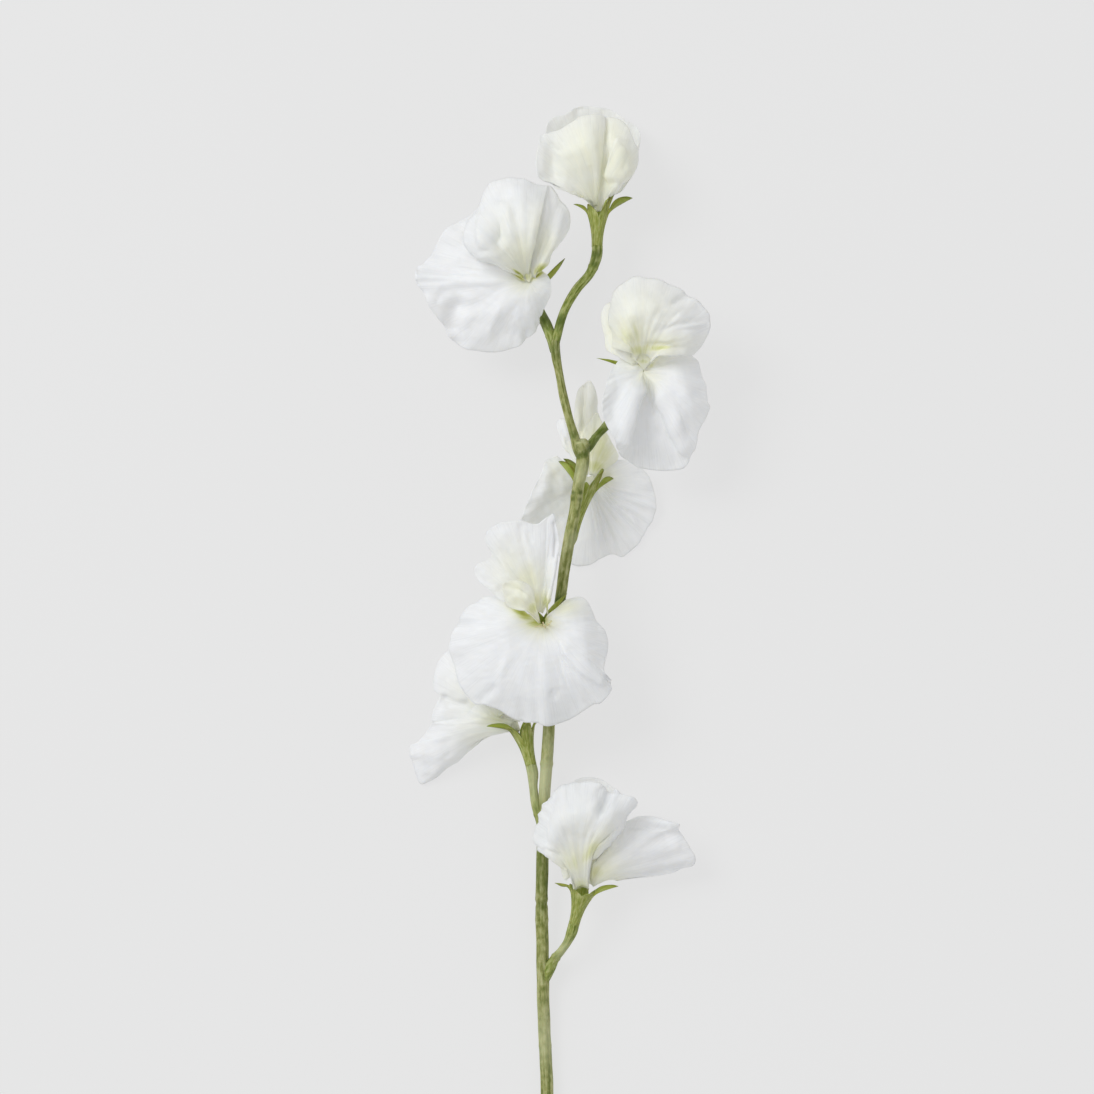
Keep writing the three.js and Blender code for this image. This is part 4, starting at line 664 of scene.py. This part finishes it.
petal("flower_7_keel", hub=(10, 108, 14.6), root=(9.6, 104.8, 13.3), claw=1.8, ribs=[
    (110, 12, 0, 1, 1), (94, 16, 1, 3, 3), (78, 16, 1, 3, 3), (64, 12, 0, 1, 1),
], cream=[((10.2, 108), (4, 4), 1.4)])

PETAL_THICKNESS = 0.3
MARGIN_THICKNESS = 0.14
# The share of the way out at which a petal begins to thin.
MARGIN_START = 0.6
# The size of a grid's cells in mm, and the fewest that a grid has.
PETAL_CELL = 0.62
MIN_COLUMNS = 24
MIN_ROWS = 20
MARGIN_SAMPLES = 400
RIB_STATIONS = np.array((0, 0.3, 0.65, 1))
# Over how many columns directions are evened inside a petal, and how late on its way out that wears off.
EVEN_COLUMNS = 7
EVEN_POWER = 2
# Humps all over a petal: height and length.
HUMPS = ((0.16, 7), (0.05, 2.6))
# The cream of a petal's root: strength, and the share of the way out that it reaches.
ROOT_CREAM = (0.8, 0.3)
VEINS_PER_RADIAN = 2.5


def grid_normals(points):
    return unit(np.cross(np.gradient(points, axis=0), np.gradient(points, axis=1)))


def ways(angle):
    return np.stack((np.cos(np.radians(angle)), np.sin(np.radians(angle)), 0 * angle), 1)


def evened(angle):
    """Directions with more even steps and the same two ends, so that ribs don't crowd inside a petal."""
    reach = 3 * EVEN_COLUMNS
    weights = np.exp(-0.5 * (np.arange(-reach, reach + 1) / EVEN_COLUMNS) ** 2)
    before = 2 * angle[0] - angle[1 : reach + 1][::-1]
    after = 2 * angle[-1] - angle[-reach - 1 : -1][::-1]
    return np.convolve(np.concatenate((before, angle, after)), weights / weights.sum(), "valid")


def column_places(ribs, knots):
    """Where to read the ribs for columns that are even along the margin, and how many rows there are."""
    fine = np.linspace(0, len(ribs) - 1, MARGIN_SAMPLES)
    angle = np.radians(through(knots, ribs[:, 0], fine))
    reach = through(knots, ribs[:, 1], fine)
    margin = np.stack((reach * np.cos(angle), reach * np.sin(angle), through(knots, ribs[:, 4], fine)), 1)
    steps = np.concatenate(([0], np.cumsum(np.linalg.norm(np.diff(margin, axis=0), axis=1))))
    columns = max(MIN_COLUMNS, int(steps[-1] / PETAL_CELL))
    rows = max(MIN_ROWS, int(reach.max() / PETAL_CELL) + 4)
    return np.interp(np.linspace(0, steps[-1], columns), steps, fine), rows


def petal_base(name, spec):
    """A petal's smooth middle surface, as columns from its root to its margin."""
    ribs = np.array(spec["ribs"], float)
    knots = np.arange(len(ribs), dtype=float)
    places, rows = column_places(ribs, knots)
    angle = through(knots, ribs[:, 0], places)
    reach = through(knots, ribs[:, 1], places)
    heights = through(knots, ribs[:, 2:], places)
    even = evened(angle)
    hub, root = np.array(spec["hub"], float), np.array(spec["root"], float)
    stations = [root + spec["claw"] * ways(even)]
    for share, height in zip(RIB_STATIONS[1:], heights.T):
        station = hub + share * reach[:, None] * ways(even + (angle - even) * share**EVEN_POWER)
        station[:, 2] = hub[2] + height
        stations.append(station)
    shares = np.linspace(0, 1, rows)
    flat = np.stack(stations).reshape(len(stations), -1)
    base = through(RIB_STATIONS, flat, shares).reshape(rows, len(places), 3).transpose(1, 0, 2)
    turned = even[:, None] + (angle - even)[:, None] * shares**EVEN_POWER
    share_grid = np.broadcast_to(shares, turned.shape)
    reach_grid = np.broadcast_to(reach[:, None], turned.shape)
    return Grid(base[..., 0], base[..., 1], turned, share_grid, reach_grid, sum(map(ord, name))), base


def petal_relief(spec, grid):
    lift = np.zeros(grid.share.shape)
    for feature in spec["shape"]:
        lift = lift + feature(grid)
    away = smoothstep(0.1, 0.4, grid.share)
    for k, (height, length) in enumerate(HUMPS):
        lift = lift + height * ripple(grid.x, grid.y, grid.seed + k, length) * away
    return lift


def petal_tint(spec, grid):
    """How cream each place is: strongest at the root, with spots of its own on each petal. Some strong spots,
    which reach green and olive, are painted shade along creases, under hood edges and in throats.
    """
    strength, reach = ROOT_CREAM
    tint = strength * (1 - smoothstep(0, reach, grid.share))
    for spot in spec["cream"]:
        tint = np.maximum(tint, dome(*spot)(grid))
    return np.clip(tint, 0, 2)


def sheet_faces(columns, rows):
    """The faces of a sheet whose upper points are followed by its lower ones, with its rim closed."""
    place = np.arange(columns * rows).reshape(columns, rows)
    a, b, c, d = place[:-1, :-1], place[1:, :-1], place[1:, 1:], place[:-1, 1:]
    over = np.stack((a, b, c, d), -1).reshape(-1, 4)
    under = columns * rows + np.stack((d, c, b, a), -1).reshape(-1, 4)
    rim = np.concatenate((place[:-1, 0], place[-1, :-1], place[:0:-1, -1], place[0, :0:-1]))
    after = np.roll(rim, -1)
    edge = np.stack((after, rim, rim + columns * rows, after + columns * rows), -1)
    return np.concatenate((over, under, edge))


def ring_faces(rings, sides):
    """The faces of a row of rings, closed by two more points, the middles of the first and last ring."""
    here = np.arange(rings * sides).reshape(rings, sides)
    there = np.roll(here, -1, axis=1)
    wall = np.stack((here[:-1], here[1:], there[1:], there[:-1]), -1).reshape(-1, 4)
    first, last = rings * sides, rings * sides + 1
    caps = [(first, here[0, k], there[0, k]) for k in range(sides)]
    caps += [(last, there[-1, k], here[-1, k]) for k in range(sides)]
    return list(wall) + caps


def new_object(name, points, faces, uv, tint):
    mesh = bpy.data.meshes.new(name)
    mesh.from_pydata((np.asarray(points) - ORIGIN) * MM, [], [list(map(int, f)) for f in faces])
    layer = mesh.uv_layers.new(name="along")
    corner = np.zeros(len(mesh.loops), np.int32)
    mesh.loops.foreach_get("vertex_index", corner)
    layer.data.foreach_set("uv", np.asarray(uv, np.float32)[corner].ravel())
    attribute = mesh.attributes.new("tint", "FLOAT", "POINT")
    attribute.data.foreach_set("value", np.asarray(tint, np.float32).ravel())
    mesh.shade_smooth()
    piece = bpy.data.objects.new(name, mesh)
    bpy.context.scene.collection.objects.link(piece)
    return piece


def place_piece(piece, node, material):
    piece.data.materials.append(material)
    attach(piece, "root")
    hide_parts(node)


def build_petal(name, spec):
    grid, base = petal_base(name, spec)
    normals = grid_normals(base)
    upward = 1 if normals[..., 2].sum() > 0 else -1
    middle = base + petal_relief(spec, grid)[..., None] * normals * upward
    outer = smoothstep(MARGIN_START, 1, grid.share)
    thickness = PETAL_THICKNESS + (MARGIN_THICKNESS - PETAL_THICKNESS) * outer
    shift = grid_normals(middle) * thickness[..., None] / 2
    points = np.concatenate(((middle + shift).reshape(-1, 3), (middle - shift).reshape(-1, 3)))
    uv = np.stack((np.radians(grid.angle) * VEINS_PER_RADIAN, grid.share), -1).reshape(-1, 2)
    tint = petal_tint(spec, grid).ravel()
    faces = sheet_faces(*middle.shape[:2])
    return new_object("petal_" + name, points, faces, np.concatenate((uv, uv)), np.concatenate((tint, tint)))


# Ribs and hollows all round a stalk: height, count, start and twist for each mm of length.
STALK_RIBS = ((0.05, 5, 0.4, 0), (0.03, 9, 0, 0.05))
# Unevenness of a stalk: height, seed and length.
STALK_HUMPS = (0.05, 11, 9)
# The share of its squared radius that a stalk keeps at a rounded end.
END_FLAT = 0.04
# Mm of a stalk or cup to one unit of its pattern.
PATTERN_LENGTH = 10


def collars(places, soft):
    """The relief of a stalk: its ribs, and raised or pinched rings, each at a distance along it."""

    def relief(around, length):
        out = np.zeros_like(around)
        for height, count, start, twist in STALK_RIBS:
            out += height * np.sin(count * around + start + twist * length)
        height, seed, hump = STALK_HUMPS
        out += height * ripple(around * 2, length, seed, hump)
        for at, height in places:
            out += height * np.exp(-(((length - at) / soft) ** 2))
        return out

    return relief


def tube(name, stations, sides, step, relief=None, round_end=0):
    """A round stalk through stations of x, y, z and radius, closed at both ends."""
    stations = np.array(stations, float)
    gaps = np.linalg.norm(np.diff(stations[:, :3], axis=0), axis=1)
    knots = np.concatenate(([0], np.cumsum(gaps)))
    lengths = np.linspace(0, knots[-1], max(4, int(knots[-1] / step)))
    path = through(knots, stations[:, :3], lengths)
    radius = through(knots, stations[:, 3], lengths)
    if round_end:
        radius = radius * np.sqrt(np.clip((knots[-1] - lengths) / round_end + END_FLAT, 0, 1))
    way = unit(np.gradient(path, axis=0))
    level = unit(np.cross(way, (0.0, 0.0, 1.0)))
    rise = np.cross(level, way)
    around, length = np.meshgrid(np.linspace(0, 2 * math.pi, sides, endpoint=False), lengths)
    out = np.broadcast_to(radius[:, None], around.shape).copy()
    if relief is not None:
        out += relief(around, length)
    ring = (
        path[:, None]
        + out[..., None] * np.cos(around)[..., None] * level[:, None]
        + out[..., None] * np.sin(around)[..., None] * rise[:, None]
    )
    points = np.concatenate((ring.reshape(-1, 3), path[[0, -1]]))
    uv = np.stack((around * 2 / math.pi, length / PATTERN_LENGTH), -1).reshape(-1, 2)
    uv = np.concatenate((uv, ((0, 0), (0, lengths[-1] / PATTERN_LENGTH))))
    tint = np.zeros(len(points))
    for x, y, reach, strength in TINT_PLACES:
        away = np.hypot(points[:, 0] - x, points[:, 1] - y)
        tint += strength * np.exp(-((away / reach) ** 2))
    return new_object(name, points, ring_faces(len(path), sides), uv, tint)


SEPALS = 5
SEPAL_TURN = 360 / SEPALS
# The power to which a sepal narrows, and what each mm of its reach adds to it.
SEPAL_TAPER = (1.4, 0.36)
# How far a sepal bends outwards: at its foot, and added towards its tip.
SEPAL_SPREAD = (0.35, 0.45)
SEPAL_DROOP = 0.65
SEPAL_LEAN_POWER = 1.6
SEPAL_TROUGH = 0.5
SEPAL_TROUGH_START = 0.15
SEPAL_THINNING = 0.7
SEPAL_INNER_RISE = 1 / 12
LONG_SEPAL = 6
CALYX_COLUMNS = 150
CALYX_RINGS = 18
CALYX_WALL = 0.4
CALYX_FLARE = 2.1
CALYX_RIB = 0.08
NOTCH_DEPTH = 0.3
NOTCH_POWER = 1.6
# How far up the cup its inner rings lie, from the rim down to the floor.
INNER_SHARES = (1, 0.93, 0.86, 0.78, 0.7, 0.5, 0.35)
# How much fresher a cup's sepals and its inside are. The deeper green inside the cup and on its floor is
# partly its own fresher green and partly painted shade inside the cup.
FRESH_TIP = 0.42
FRESH_AND_SHADE_INSIDE = 0.35
FRESH_AND_SHADE_FLOOR = 0.9
FRESH_REACH = 7
# Degrees round a cup to one unit of its pattern.
PATTERN_TURN = 40


def calyx_rings(turn, outline, plan, spec):
    """The rings of a cup, and its length. The plan lists each ring's share of the way up the cup and up the
    sepals, and its inset from the outside. The outline is, at each direction, the offset from the middle of a
    sepal, that sepal's reach, rise and lean, and how narrow it is."""
    offset, reach_of, rise_of, lean_of, taper = outline
    base, mouth = np.array(spec.base, float), np.array(spec.mouth, float)
    axis = mouth - base
    length = np.linalg.norm(axis)
    axis /= length
    level = unit(np.cross(axis, (0.0, 0.0, 1.0)))
    rise = np.cross(level, axis)
    angle = np.radians(spec.turn + turn)[:, None]
    outward = np.cos(angle) * level + np.sin(angle) * rise
    across = np.cos(angle) * rise - np.sin(angle) * level
    low, high = spec.radii
    notch = 1 - NOTCH_DEPTH * offset**NOTCH_POWER * np.minimum(reach_of / LONG_SEPAL, 1) ** 0.5
    hollow = SEPAL_TROUGH * (1 - offset) ** 2
    trough_of = np.minimum(reach_of / LONG_SEPAL, 1.2)
    rings = []
    for up_cup, lobe, inset in plan:
        share = up_cup * notch
        width = low + (high - low) * share**CALYX_FLARE - inset
        width = width + CALYX_RIB * np.cos(np.radians(turn) * 2 * SEPALS) * (1 - lobe) * share
        reach = reach_of * taper * lobe
        out = width + reach * (SEPAL_SPREAD[0] + SEPAL_SPREAD[1] * lobe)
        trough = hollow * math.sin(math.pi * min(lobe + SEPAL_TROUGH_START, 1)) * trough_of
        up = length * share + rise_of * reach * (1 - SEPAL_DROOP * lobe)
        up = up + inset * reach * SEPAL_INNER_RISE - trough * lobe
        sideways = lean_of * (taper * lobe) ** SEPAL_LEAN_POWER
        rings.append(base + up[:, None] * axis + out[:, None] * outward + sideways[:, None] * across)
    return rings, length


def build_calyx(name, spec):
    """A cup whose rim is cut into five pointed sepals that bend outwards, with a notch between each two."""
    turn = np.linspace(0, 360, CALYX_COLUMNS, endpoint=False)
    from_edge = turn + SEPAL_TURN / 2
    sepal = np.floor(from_edge / SEPAL_TURN).astype(int) % SEPALS
    offset = np.abs(from_edge % SEPAL_TURN - SEPAL_TURN / 2) / (SEPAL_TURN / 2)
    sepals = np.array([(*s, 0)[:3] for s in spec.sepals], float)[sepal]
    reach_of, rise_of, lean_of = sepals.T
    taper = (1 - offset) ** (SEPAL_TAPER[0] + reach_of * SEPAL_TAPER[1])

    tips = np.linspace(0, 1, CALYX_RINGS)[1:]
    plan = [(share, 0, 0) for share in np.linspace(0, 1, CALYX_RINGS)]
    plan += [(1, lobe, 0) for lobe in tips]
    plan += [(1, lobe, CALYX_WALL * (1 - SEPAL_THINNING * lobe)) for lobe in tips[::-1]]
    plan += [(share, 0, CALYX_WALL) for share in INNER_SHARES]
    rings, length = calyx_rings(turn, (offset, reach_of, rise_of, lean_of, taper), plan, spec)
    points = np.concatenate(rings + [[rings[0].mean(0)], [rings[-1].mean(0)]])
    along = [share * length / PATTERN_LENGTH + lobe for share, lobe, _ in plan]
    uv = [np.stack((turn / PATTERN_TURN, np.full(CALYX_COLUMNS, v)), -1) for v in along]
    # The inside rings and the floor get a deeper green, partly painted shade inside the cup.
    fresh_and_shade = []
    for _, lobe, inset in plan:
        tip = np.clip(reach_of * taper * lobe / FRESH_REACH, 0, 1)
        fresh_and_shade.append(tip * FRESH_TIP + (FRESH_AND_SHADE_INSIDE if inset else 0))
    tint = np.clip(np.concatenate(fresh_and_shade + [(0, FRESH_AND_SHADE_FLOOR)]), 0, 1)
    faces = ring_faces(len(rings), CALYX_COLUMNS)
    return new_object(name + "_calyx_cup", points, faces, np.concatenate(uv + [[(0, 0), (0, 0.3)]]), tint)


# A noise: how much it is squeezed across and along a piece, then its scale, detail, roughness and distortion.
Pattern = namedtuple("Pattern", "across along scale detail rough distortion")
VEINS = Pattern(9, 0.9, 3, 4, 0.6, 0.25)
CLOUDS = Pattern(1.6, 0.9, 1.7, 3, 0.5, 0.3)
GRAIN = Pattern(30, 22, 3, 2, 0.5, 0)
STREAKS = Pattern(1.7, 0.35, 2, 5, 0.65, 0.4)
SPOTS = Pattern(1.2, 2, 1.7, 4, 0.6, 0.2)
SPECKS = Pattern(6, 4, 6, 3, 0.6, 0)
FILAMENT_STREAKS = Pattern(3, 1, 3, 3, 0.6, 0)
FLOOR_CLOUDS = Pattern(1, 1, 1.2, 2, 0.5, 0)

# Stops of ramps: places from 0 to 1, each with a grey or a colour.
TINT_CLOUDS = ((0.3, 0.8), (0.7, 1.0))
TO_GREEN = ((0.45, 0.0), (0.75, 1.0))
TO_OLIVE_AND_SHADE = ((0.75, 0.0), (1.0, 1.0))
VEIN_SHADE = ((0.36, 0.86), (0.5, 1.0), (0.66, 0.95))
CLOUD_SHADE = ((0.35, (0.93, 0.945, 0.96)), (0.65, (1.0, 1.0, 1.0)))
MARGIN_SHADE = ((0.96, 1.0), (0.995, 0.965))
MATT = ((0.3, 0.5), (0.7, 0.7))
WAXY = ((0.3, 0.38), (0.7, 0.6))
SPECK_SHADE = ((0.3, 0.78), (0.7, 1.0))
DEEP_WHERE_DARK = ((0.36, 1.0), (0.62, 0.6))
DEEPENING = ((0.0, 0.0), (0.25, 0.6), (0.8, 1.0))
FADING = ((0.0, 0.0), (1.0, 0.8))
FILAMENT_SHADE = ((0.35, (0.62, 0.55, 0.24)), (0.65, (0.8, 0.76, 0.5)))
FLOOR_SHADE = ((0.3, 0.125), (0.7, 0.14))

# The green and olive of the strongest petal tints. The green is partly the petals' own green at their roots
# and partly painted shade under hood edges; the olive is mostly painted shade along creases and in throats.
GREEN_TINT = (0.5, 0.54, 0.13)
OLIVE_AND_SHADE = (0.16, 0.16, 0.012)
DEEP_GREEN = (0.07, 0.11, 0.006)
FRESH_GREEN = (0.3, 0.38, 0.045)
PALE_SAGE = (0.56, 0.58, 0.34)


class Nodes:
    """Short names for adding and joining a material's nodes."""

    def __init__(self, name):
        self.material = bpy.data.materials.new(name)
        self.material.use_nodes = True
        self.tree = self.material.node_tree
        self.shader = self.tree.nodes["Principled BSDF"]

    def add(self, kind, **settings):
        node = self.tree.nodes.new(kind)
        for key, value in settings.items():
            setattr(node, key, value)
        return node

    def join(self, source, target):
        self.tree.links.new(source, target)

    def feed(self, value, socket):
        """Sets a socket to a number or a colour, or joins it to another node's output."""
        if isinstance(value, tuple):
            socket.default_value = (*value, 1)
        elif isinstance(value, float):
            socket.default_value = value
        else:
            self.join(value, socket)

    def noise(self, vector, pattern):
        mapping = self.add("ShaderNodeMapping")
        mapping.inputs["Scale"].default_value = (pattern.across, pattern.along, 1)
        self.join(vector, mapping.inputs["Vector"])
        node = self.add("ShaderNodeTexNoise")
        for setting, value in zip(("Scale", "Detail", "Roughness", "Distortion"), pattern[2:]):
            node.inputs[setting].default_value = value
        self.join(mapping.outputs["Vector"], node.inputs["Vector"])
        return node.outputs["Fac"]

    def ramp(self, source, stops):
        """A grey or a colour for each value from 0 to 1, as the stops say."""
        node = self.add("ShaderNodeValToRGB")
        band = node.color_ramp
        while len(band.elements) < len(stops):
            band.elements.new(0.5)
        for element, (place, colour) in zip(band.elements, stops):
            element.position = place
            element.color = (*colour, 1) if isinstance(colour, tuple) else (colour, colour, colour, 1)
        self.join(source, node.inputs["Fac"])
        return node.outputs["Color"]

    def blend(self, factor, a, b, kind="MIX"):
        node = self.add("ShaderNodeMix", data_type="RGBA", blend_type=kind)
        self.feed(factor, node.inputs[0])
        self.feed(a, node.inputs[6])
        self.feed(b, node.inputs[7])
        return node.outputs[2]

    def math(self, kind, a, b):
        node = self.add("ShaderNodeMath", operation=kind)
        self.feed(a, node.inputs[0])
        self.feed(b, node.inputs[1])
        return node.outputs[0]

    def uv(self):
        return self.add("ShaderNodeUVMap", uv_map="along").outputs["UV"]

    def tint(self):
        return self.add("ShaderNodeAttribute", attribute_name="tint").outputs["Fac"]

    def bump(self, height, strength, distance):
        node = self.add("ShaderNodeBump")
        node.inputs["Strength"].default_value = strength
        node.inputs["Distance"].default_value = distance
        self.join(height, node.inputs["Height"])
        self.join(node.outputs["Normal"], self.shader.inputs["Normal"])

    def shaded(self, colour, **values):
        """Gives the shader its colour and other values, and returns the material."""
        self.join(colour, self.shader.inputs["Base Color"])
        for name, value in values.items():
            self.shader.inputs[name.replace("_", " ")].default_value = value
        return self.material

    def roughness(self, source, stops):
        self.join(self.ramp(source, stops), self.shader.inputs["Roughness"])


def petal_material(name, white, cream):
    """A matt petal with fine veins that fan out: white, then cream, green and olive as its tint rises. The
    green is partly, and the olive mostly, painted shade along creases, under hood edges and in throats.
    """
    n = Nodes(name)
    uv = n.uv()
    split = n.add("ShaderNodeSeparateXYZ")
    n.join(uv, split.inputs[0])
    veins, clouds, grain = n.noise(uv, VEINS), n.noise(uv, CLOUDS), n.noise(uv, GRAIN)
    patchy = n.math("MULTIPLY", n.tint(), n.ramp(clouds, TINT_CLOUDS))
    half = n.math("MULTIPLY", patchy, 0.5)
    colour = n.blend(patchy, white, cream)
    colour = n.blend(n.ramp(half, TO_GREEN), colour, GREEN_TINT)
    colour = n.blend(n.ramp(half, TO_OLIVE_AND_SHADE), colour, OLIVE_AND_SHADE)
    colour = n.blend(0.42, colour, n.ramp(veins, VEIN_SHADE), "MULTIPLY")
    colour = n.blend(0.6, colour, n.ramp(clouds, CLOUD_SHADE), "MULTIPLY")
    colour = n.blend(0.8, colour, n.ramp(split.outputs["Y"], MARGIN_SHADE), "MULTIPLY")
    n.roughness(veins, MATT)
    n.bump(n.math("ADD", veins, n.math("MULTIPLY", grain, 0.25)), strength=0.35, distance=0.0002)
    return n.shaded(
        colour,
        Subsurface_Weight=0.5,
        Subsurface_Scale=0.0015,
        Subsurface_Radius=(1.0, 0.9, 0.75),
        Sheen_Weight=0.12,
        Specular_IOR_Level=0.3,
    )


def green_material(name, shades, streaks, spots, deep=DEEP_GREEN):
    """A green stalk, streaked and mottled, deeper where its tint is above 0 and paler where it is below."""
    n = Nodes(name)
    uv = n.uv()
    streak = n.noise(uv, STREAKS._replace(across=streaks))
    spot = n.noise(uv, SPOTS._replace(scale=spots))
    speck = n.noise(uv, SPECKS)
    mixed = n.math("ADD", n.math("MULTIPLY", streak, 0.5), n.math("MULTIPLY", spot, 0.5))
    tint = n.tint()
    deepened = n.math("MULTIPLY", n.ramp(mixed, DEEP_WHERE_DARK), n.ramp(tint, DEEPENING))
    faded = n.ramp(n.math("MULTIPLY", tint, -1.0), FADING)
    colour = n.ramp(mixed, tuple(zip((0.4, 0.5, 0.6), shades)))
    colour = n.blend(0.5, colour, n.ramp(speck, SPECK_SHADE), "MULTIPLY")
    colour = n.blend(deepened, colour, deep)
    colour = n.blend(faded, colour, PALE_SAGE)
    n.roughness(spot, WAXY)
    n.bump(n.math("ADD", streak, n.math("MULTIPLY", speck, 0.4)), strength=0.6, distance=0.00035)
    return n.shaded(colour, Subsurface_Weight=0.08, Subsurface_Scale=0.0008, Specular_IOR_Level=0.25)


def filament_material():
    n = Nodes("stamen_cream")
    streak = n.noise(n.uv(), FILAMENT_STREAKS)
    n.roughness(streak, MATT)
    n.bump(streak, strength=0.4, distance=0.0001)
    return n.shaded(n.ramp(streak, FILAMENT_SHADE), Subsurface_Weight=0.15, Subsurface_Scale=0.0005)


WHITE = petal_material("petal_white", (0.9, 0.907, 0.912), (0.9, 0.895, 0.66))
CREAM = petal_material("petal_cream", (0.9, 0.9, 0.84), (0.9, 0.89, 0.62))
# Each green is dark, middle and light.
STEM = green_material("stem_green", ((0.14, 0.17, 0.025), (0.32, 0.34, 0.11), (0.5, 0.51, 0.25)), 1.7, 1.7)
STALK = green_material("stalk_green", ((0.12, 0.17, 0.012), (0.3, 0.35, 0.08), (0.5, 0.53, 0.24)), 1.8, 1.8)
CUP = green_material(
    "calyx_green", ((0.2, 0.25, 0.035), (0.35, 0.39, 0.09), (0.53, 0.56, 0.24)), 2.6, 2.0, FRESH_GREEN
)
STAMEN = filament_material()

# A stalk ends inside its cup: its last two stations along the cup's axis, and how much thinner it is there.
STALK_TOP = (-2.2, 0.3)
STALK_INSET = 0.02
# Where a filament's third station lies: the weights of its bend and its tip.
SHOULDER = (0.3, 0.7)


def build_stalk(flower, cup):
    foot, mouth = np.array(cup.base), np.array(cup.mouth)
    axis = unit(mouth - foot)
    top = [(*(foot + axis * along), cup.radii[0] - STALK_INSET) for along in STALK_TOP]
    relief = collars([PEDICEL_COLLARS[flower]], PEDICEL_COLLAR_SOFT)
    return tube("pedicel_" + flower, PEDICELS[flower] + top, sides=32, step=0.35, relief=relief)


def build_filament(name, start, bend, tip):
    shoulder = np.array(bend) * SHOULDER[0] + np.array(tip) * SHOULDER[1]
    stations = [(*place, radius) for place, radius in zip((start, bend, shoulder, tip), FILAMENT_RADII)]
    return tube(name, stations, sides=12, step=0.25)


for name, spec in PETALS.items():
    keel = name.endswith("keel")
    place_piece(build_petal(name, spec), name, CREAM if keel else WHITE)

relief = collars(STEM_COLLARS, STEM_COLLAR_SOFT)
stem = tube("stem_main", MAIN_STEM, sides=48, step=0.45, relief=relief, round_end=0.25)
place_piece(stem, "main_stem", STEM)
relief = collars([], PEDICEL_COLLAR_SOFT)
upper = tube("stem_upper", UPPER_STEM, sides=36, step=0.35, relief=relief, round_end=0.9)
place_piece(upper, "main_stem", STEM)
for flower, cup in CALYCES.items():
    place_piece(build_stalk(flower, cup), flower + "_pedicel", STALK)
    place_piece(build_calyx(flower, cup), flower + "_calyx", CUP)
for k, places in enumerate(FILAMENTS, 1):
    place_piece(build_filament(f"stamen_{k}", *places), f"flower_5_filament_{k}", STAMEN)

# The pale surface that the spray lies on, in metres. It mostly glows, so that shadows on it stay faint.
FLOOR_HALF = 12.0
FLOOR_DROP = 0.0004
FLOOR_GLOW = 0.665
# One broad soft light from the upper left.
LIGHT_PLACE = (-0.9, 0.75, 1.3)
LIGHT_TARGET = (0, 0.05, 0)
LIGHT_SIZE = 0.9
LIGHT_POWER = 12.5
# The camera looks straight down.
CAMERA_OVER = (-0.0035, 0.0381)
CAMERA_TARGET_HEIGHT = 0.015
CAMERA_DISTANCE = 1.641
CAMERA_LENS = 180
SKY_COLOUR = (0.985, 0.99, 1, 1)
SKY_STRENGTH = 0.63


def add_to_scene(thing):
    bpy.context.scene.collection.objects.link(thing)


def build_floor():
    n = Nodes("pale_surface")
    where = n.add("ShaderNodeTexCoord").outputs["Object"]
    material = n.shaded(
        n.ramp(n.noise(where, FLOOR_CLOUDS), FLOOR_SHADE),
        Roughness=0.9,
        Specular_IOR_Level=0.1,
        Emission_Color=(1, 1, 1, 1),
        Emission_Strength=FLOOR_GLOW,
    )
    corners = [(x * FLOOR_HALF, y * FLOOR_HALF, 0) for x, y in ((-1, -1), (1, -1), (1, 1), (-1, 1))]
    mesh = bpy.data.meshes.new("floor")
    mesh.from_pydata(corners, [], [(0, 1, 2, 3)])
    mesh.materials.append(material)
    floor = bpy.data.objects.new("floor", mesh)
    floor.location.z = -FLOOR_DROP
    add_to_scene(floor)


def build_light():
    light = bpy.data.lights.new("key", "AREA")
    light.shape = "DISK"
    light.size = LIGHT_SIZE
    light.energy = LIGHT_POWER
    lamp = bpy.data.objects.new("key", light)
    lamp.location = LIGHT_PLACE
    aim = np.array(LIGHT_TARGET) - np.array(LIGHT_PLACE)
    lamp.rotation_euler = Vector(aim).to_track_quat("-Z", "Y").to_euler()
    add_to_scene(lamp)


def build_camera():
    data = bpy.data.cameras.new("camera")
    data.lens = CAMERA_LENS
    data.sensor_width = 36
    data.clip_end = 20
    camera = bpy.data.objects.new("camera", data)
    camera.location = (*CAMERA_OVER, CAMERA_TARGET_HEIGHT + CAMERA_DISTANCE)
    add_to_scene(camera)
    bpy.context.scene.camera = camera


def build_world():
    world = bpy.data.worlds.new("studio")
    world.use_nodes = True
    shade = world.node_tree.nodes["Background"]
    shade.inputs["Color"].default_value = SKY_COLOUR
    shade.inputs["Strength"].default_value = SKY_STRENGTH
    bpy.context.scene.world = world


build_floor()
build_world()
build_camera()
build_light()
bpy.context.scene.view_settings.view_transform = "Standard"
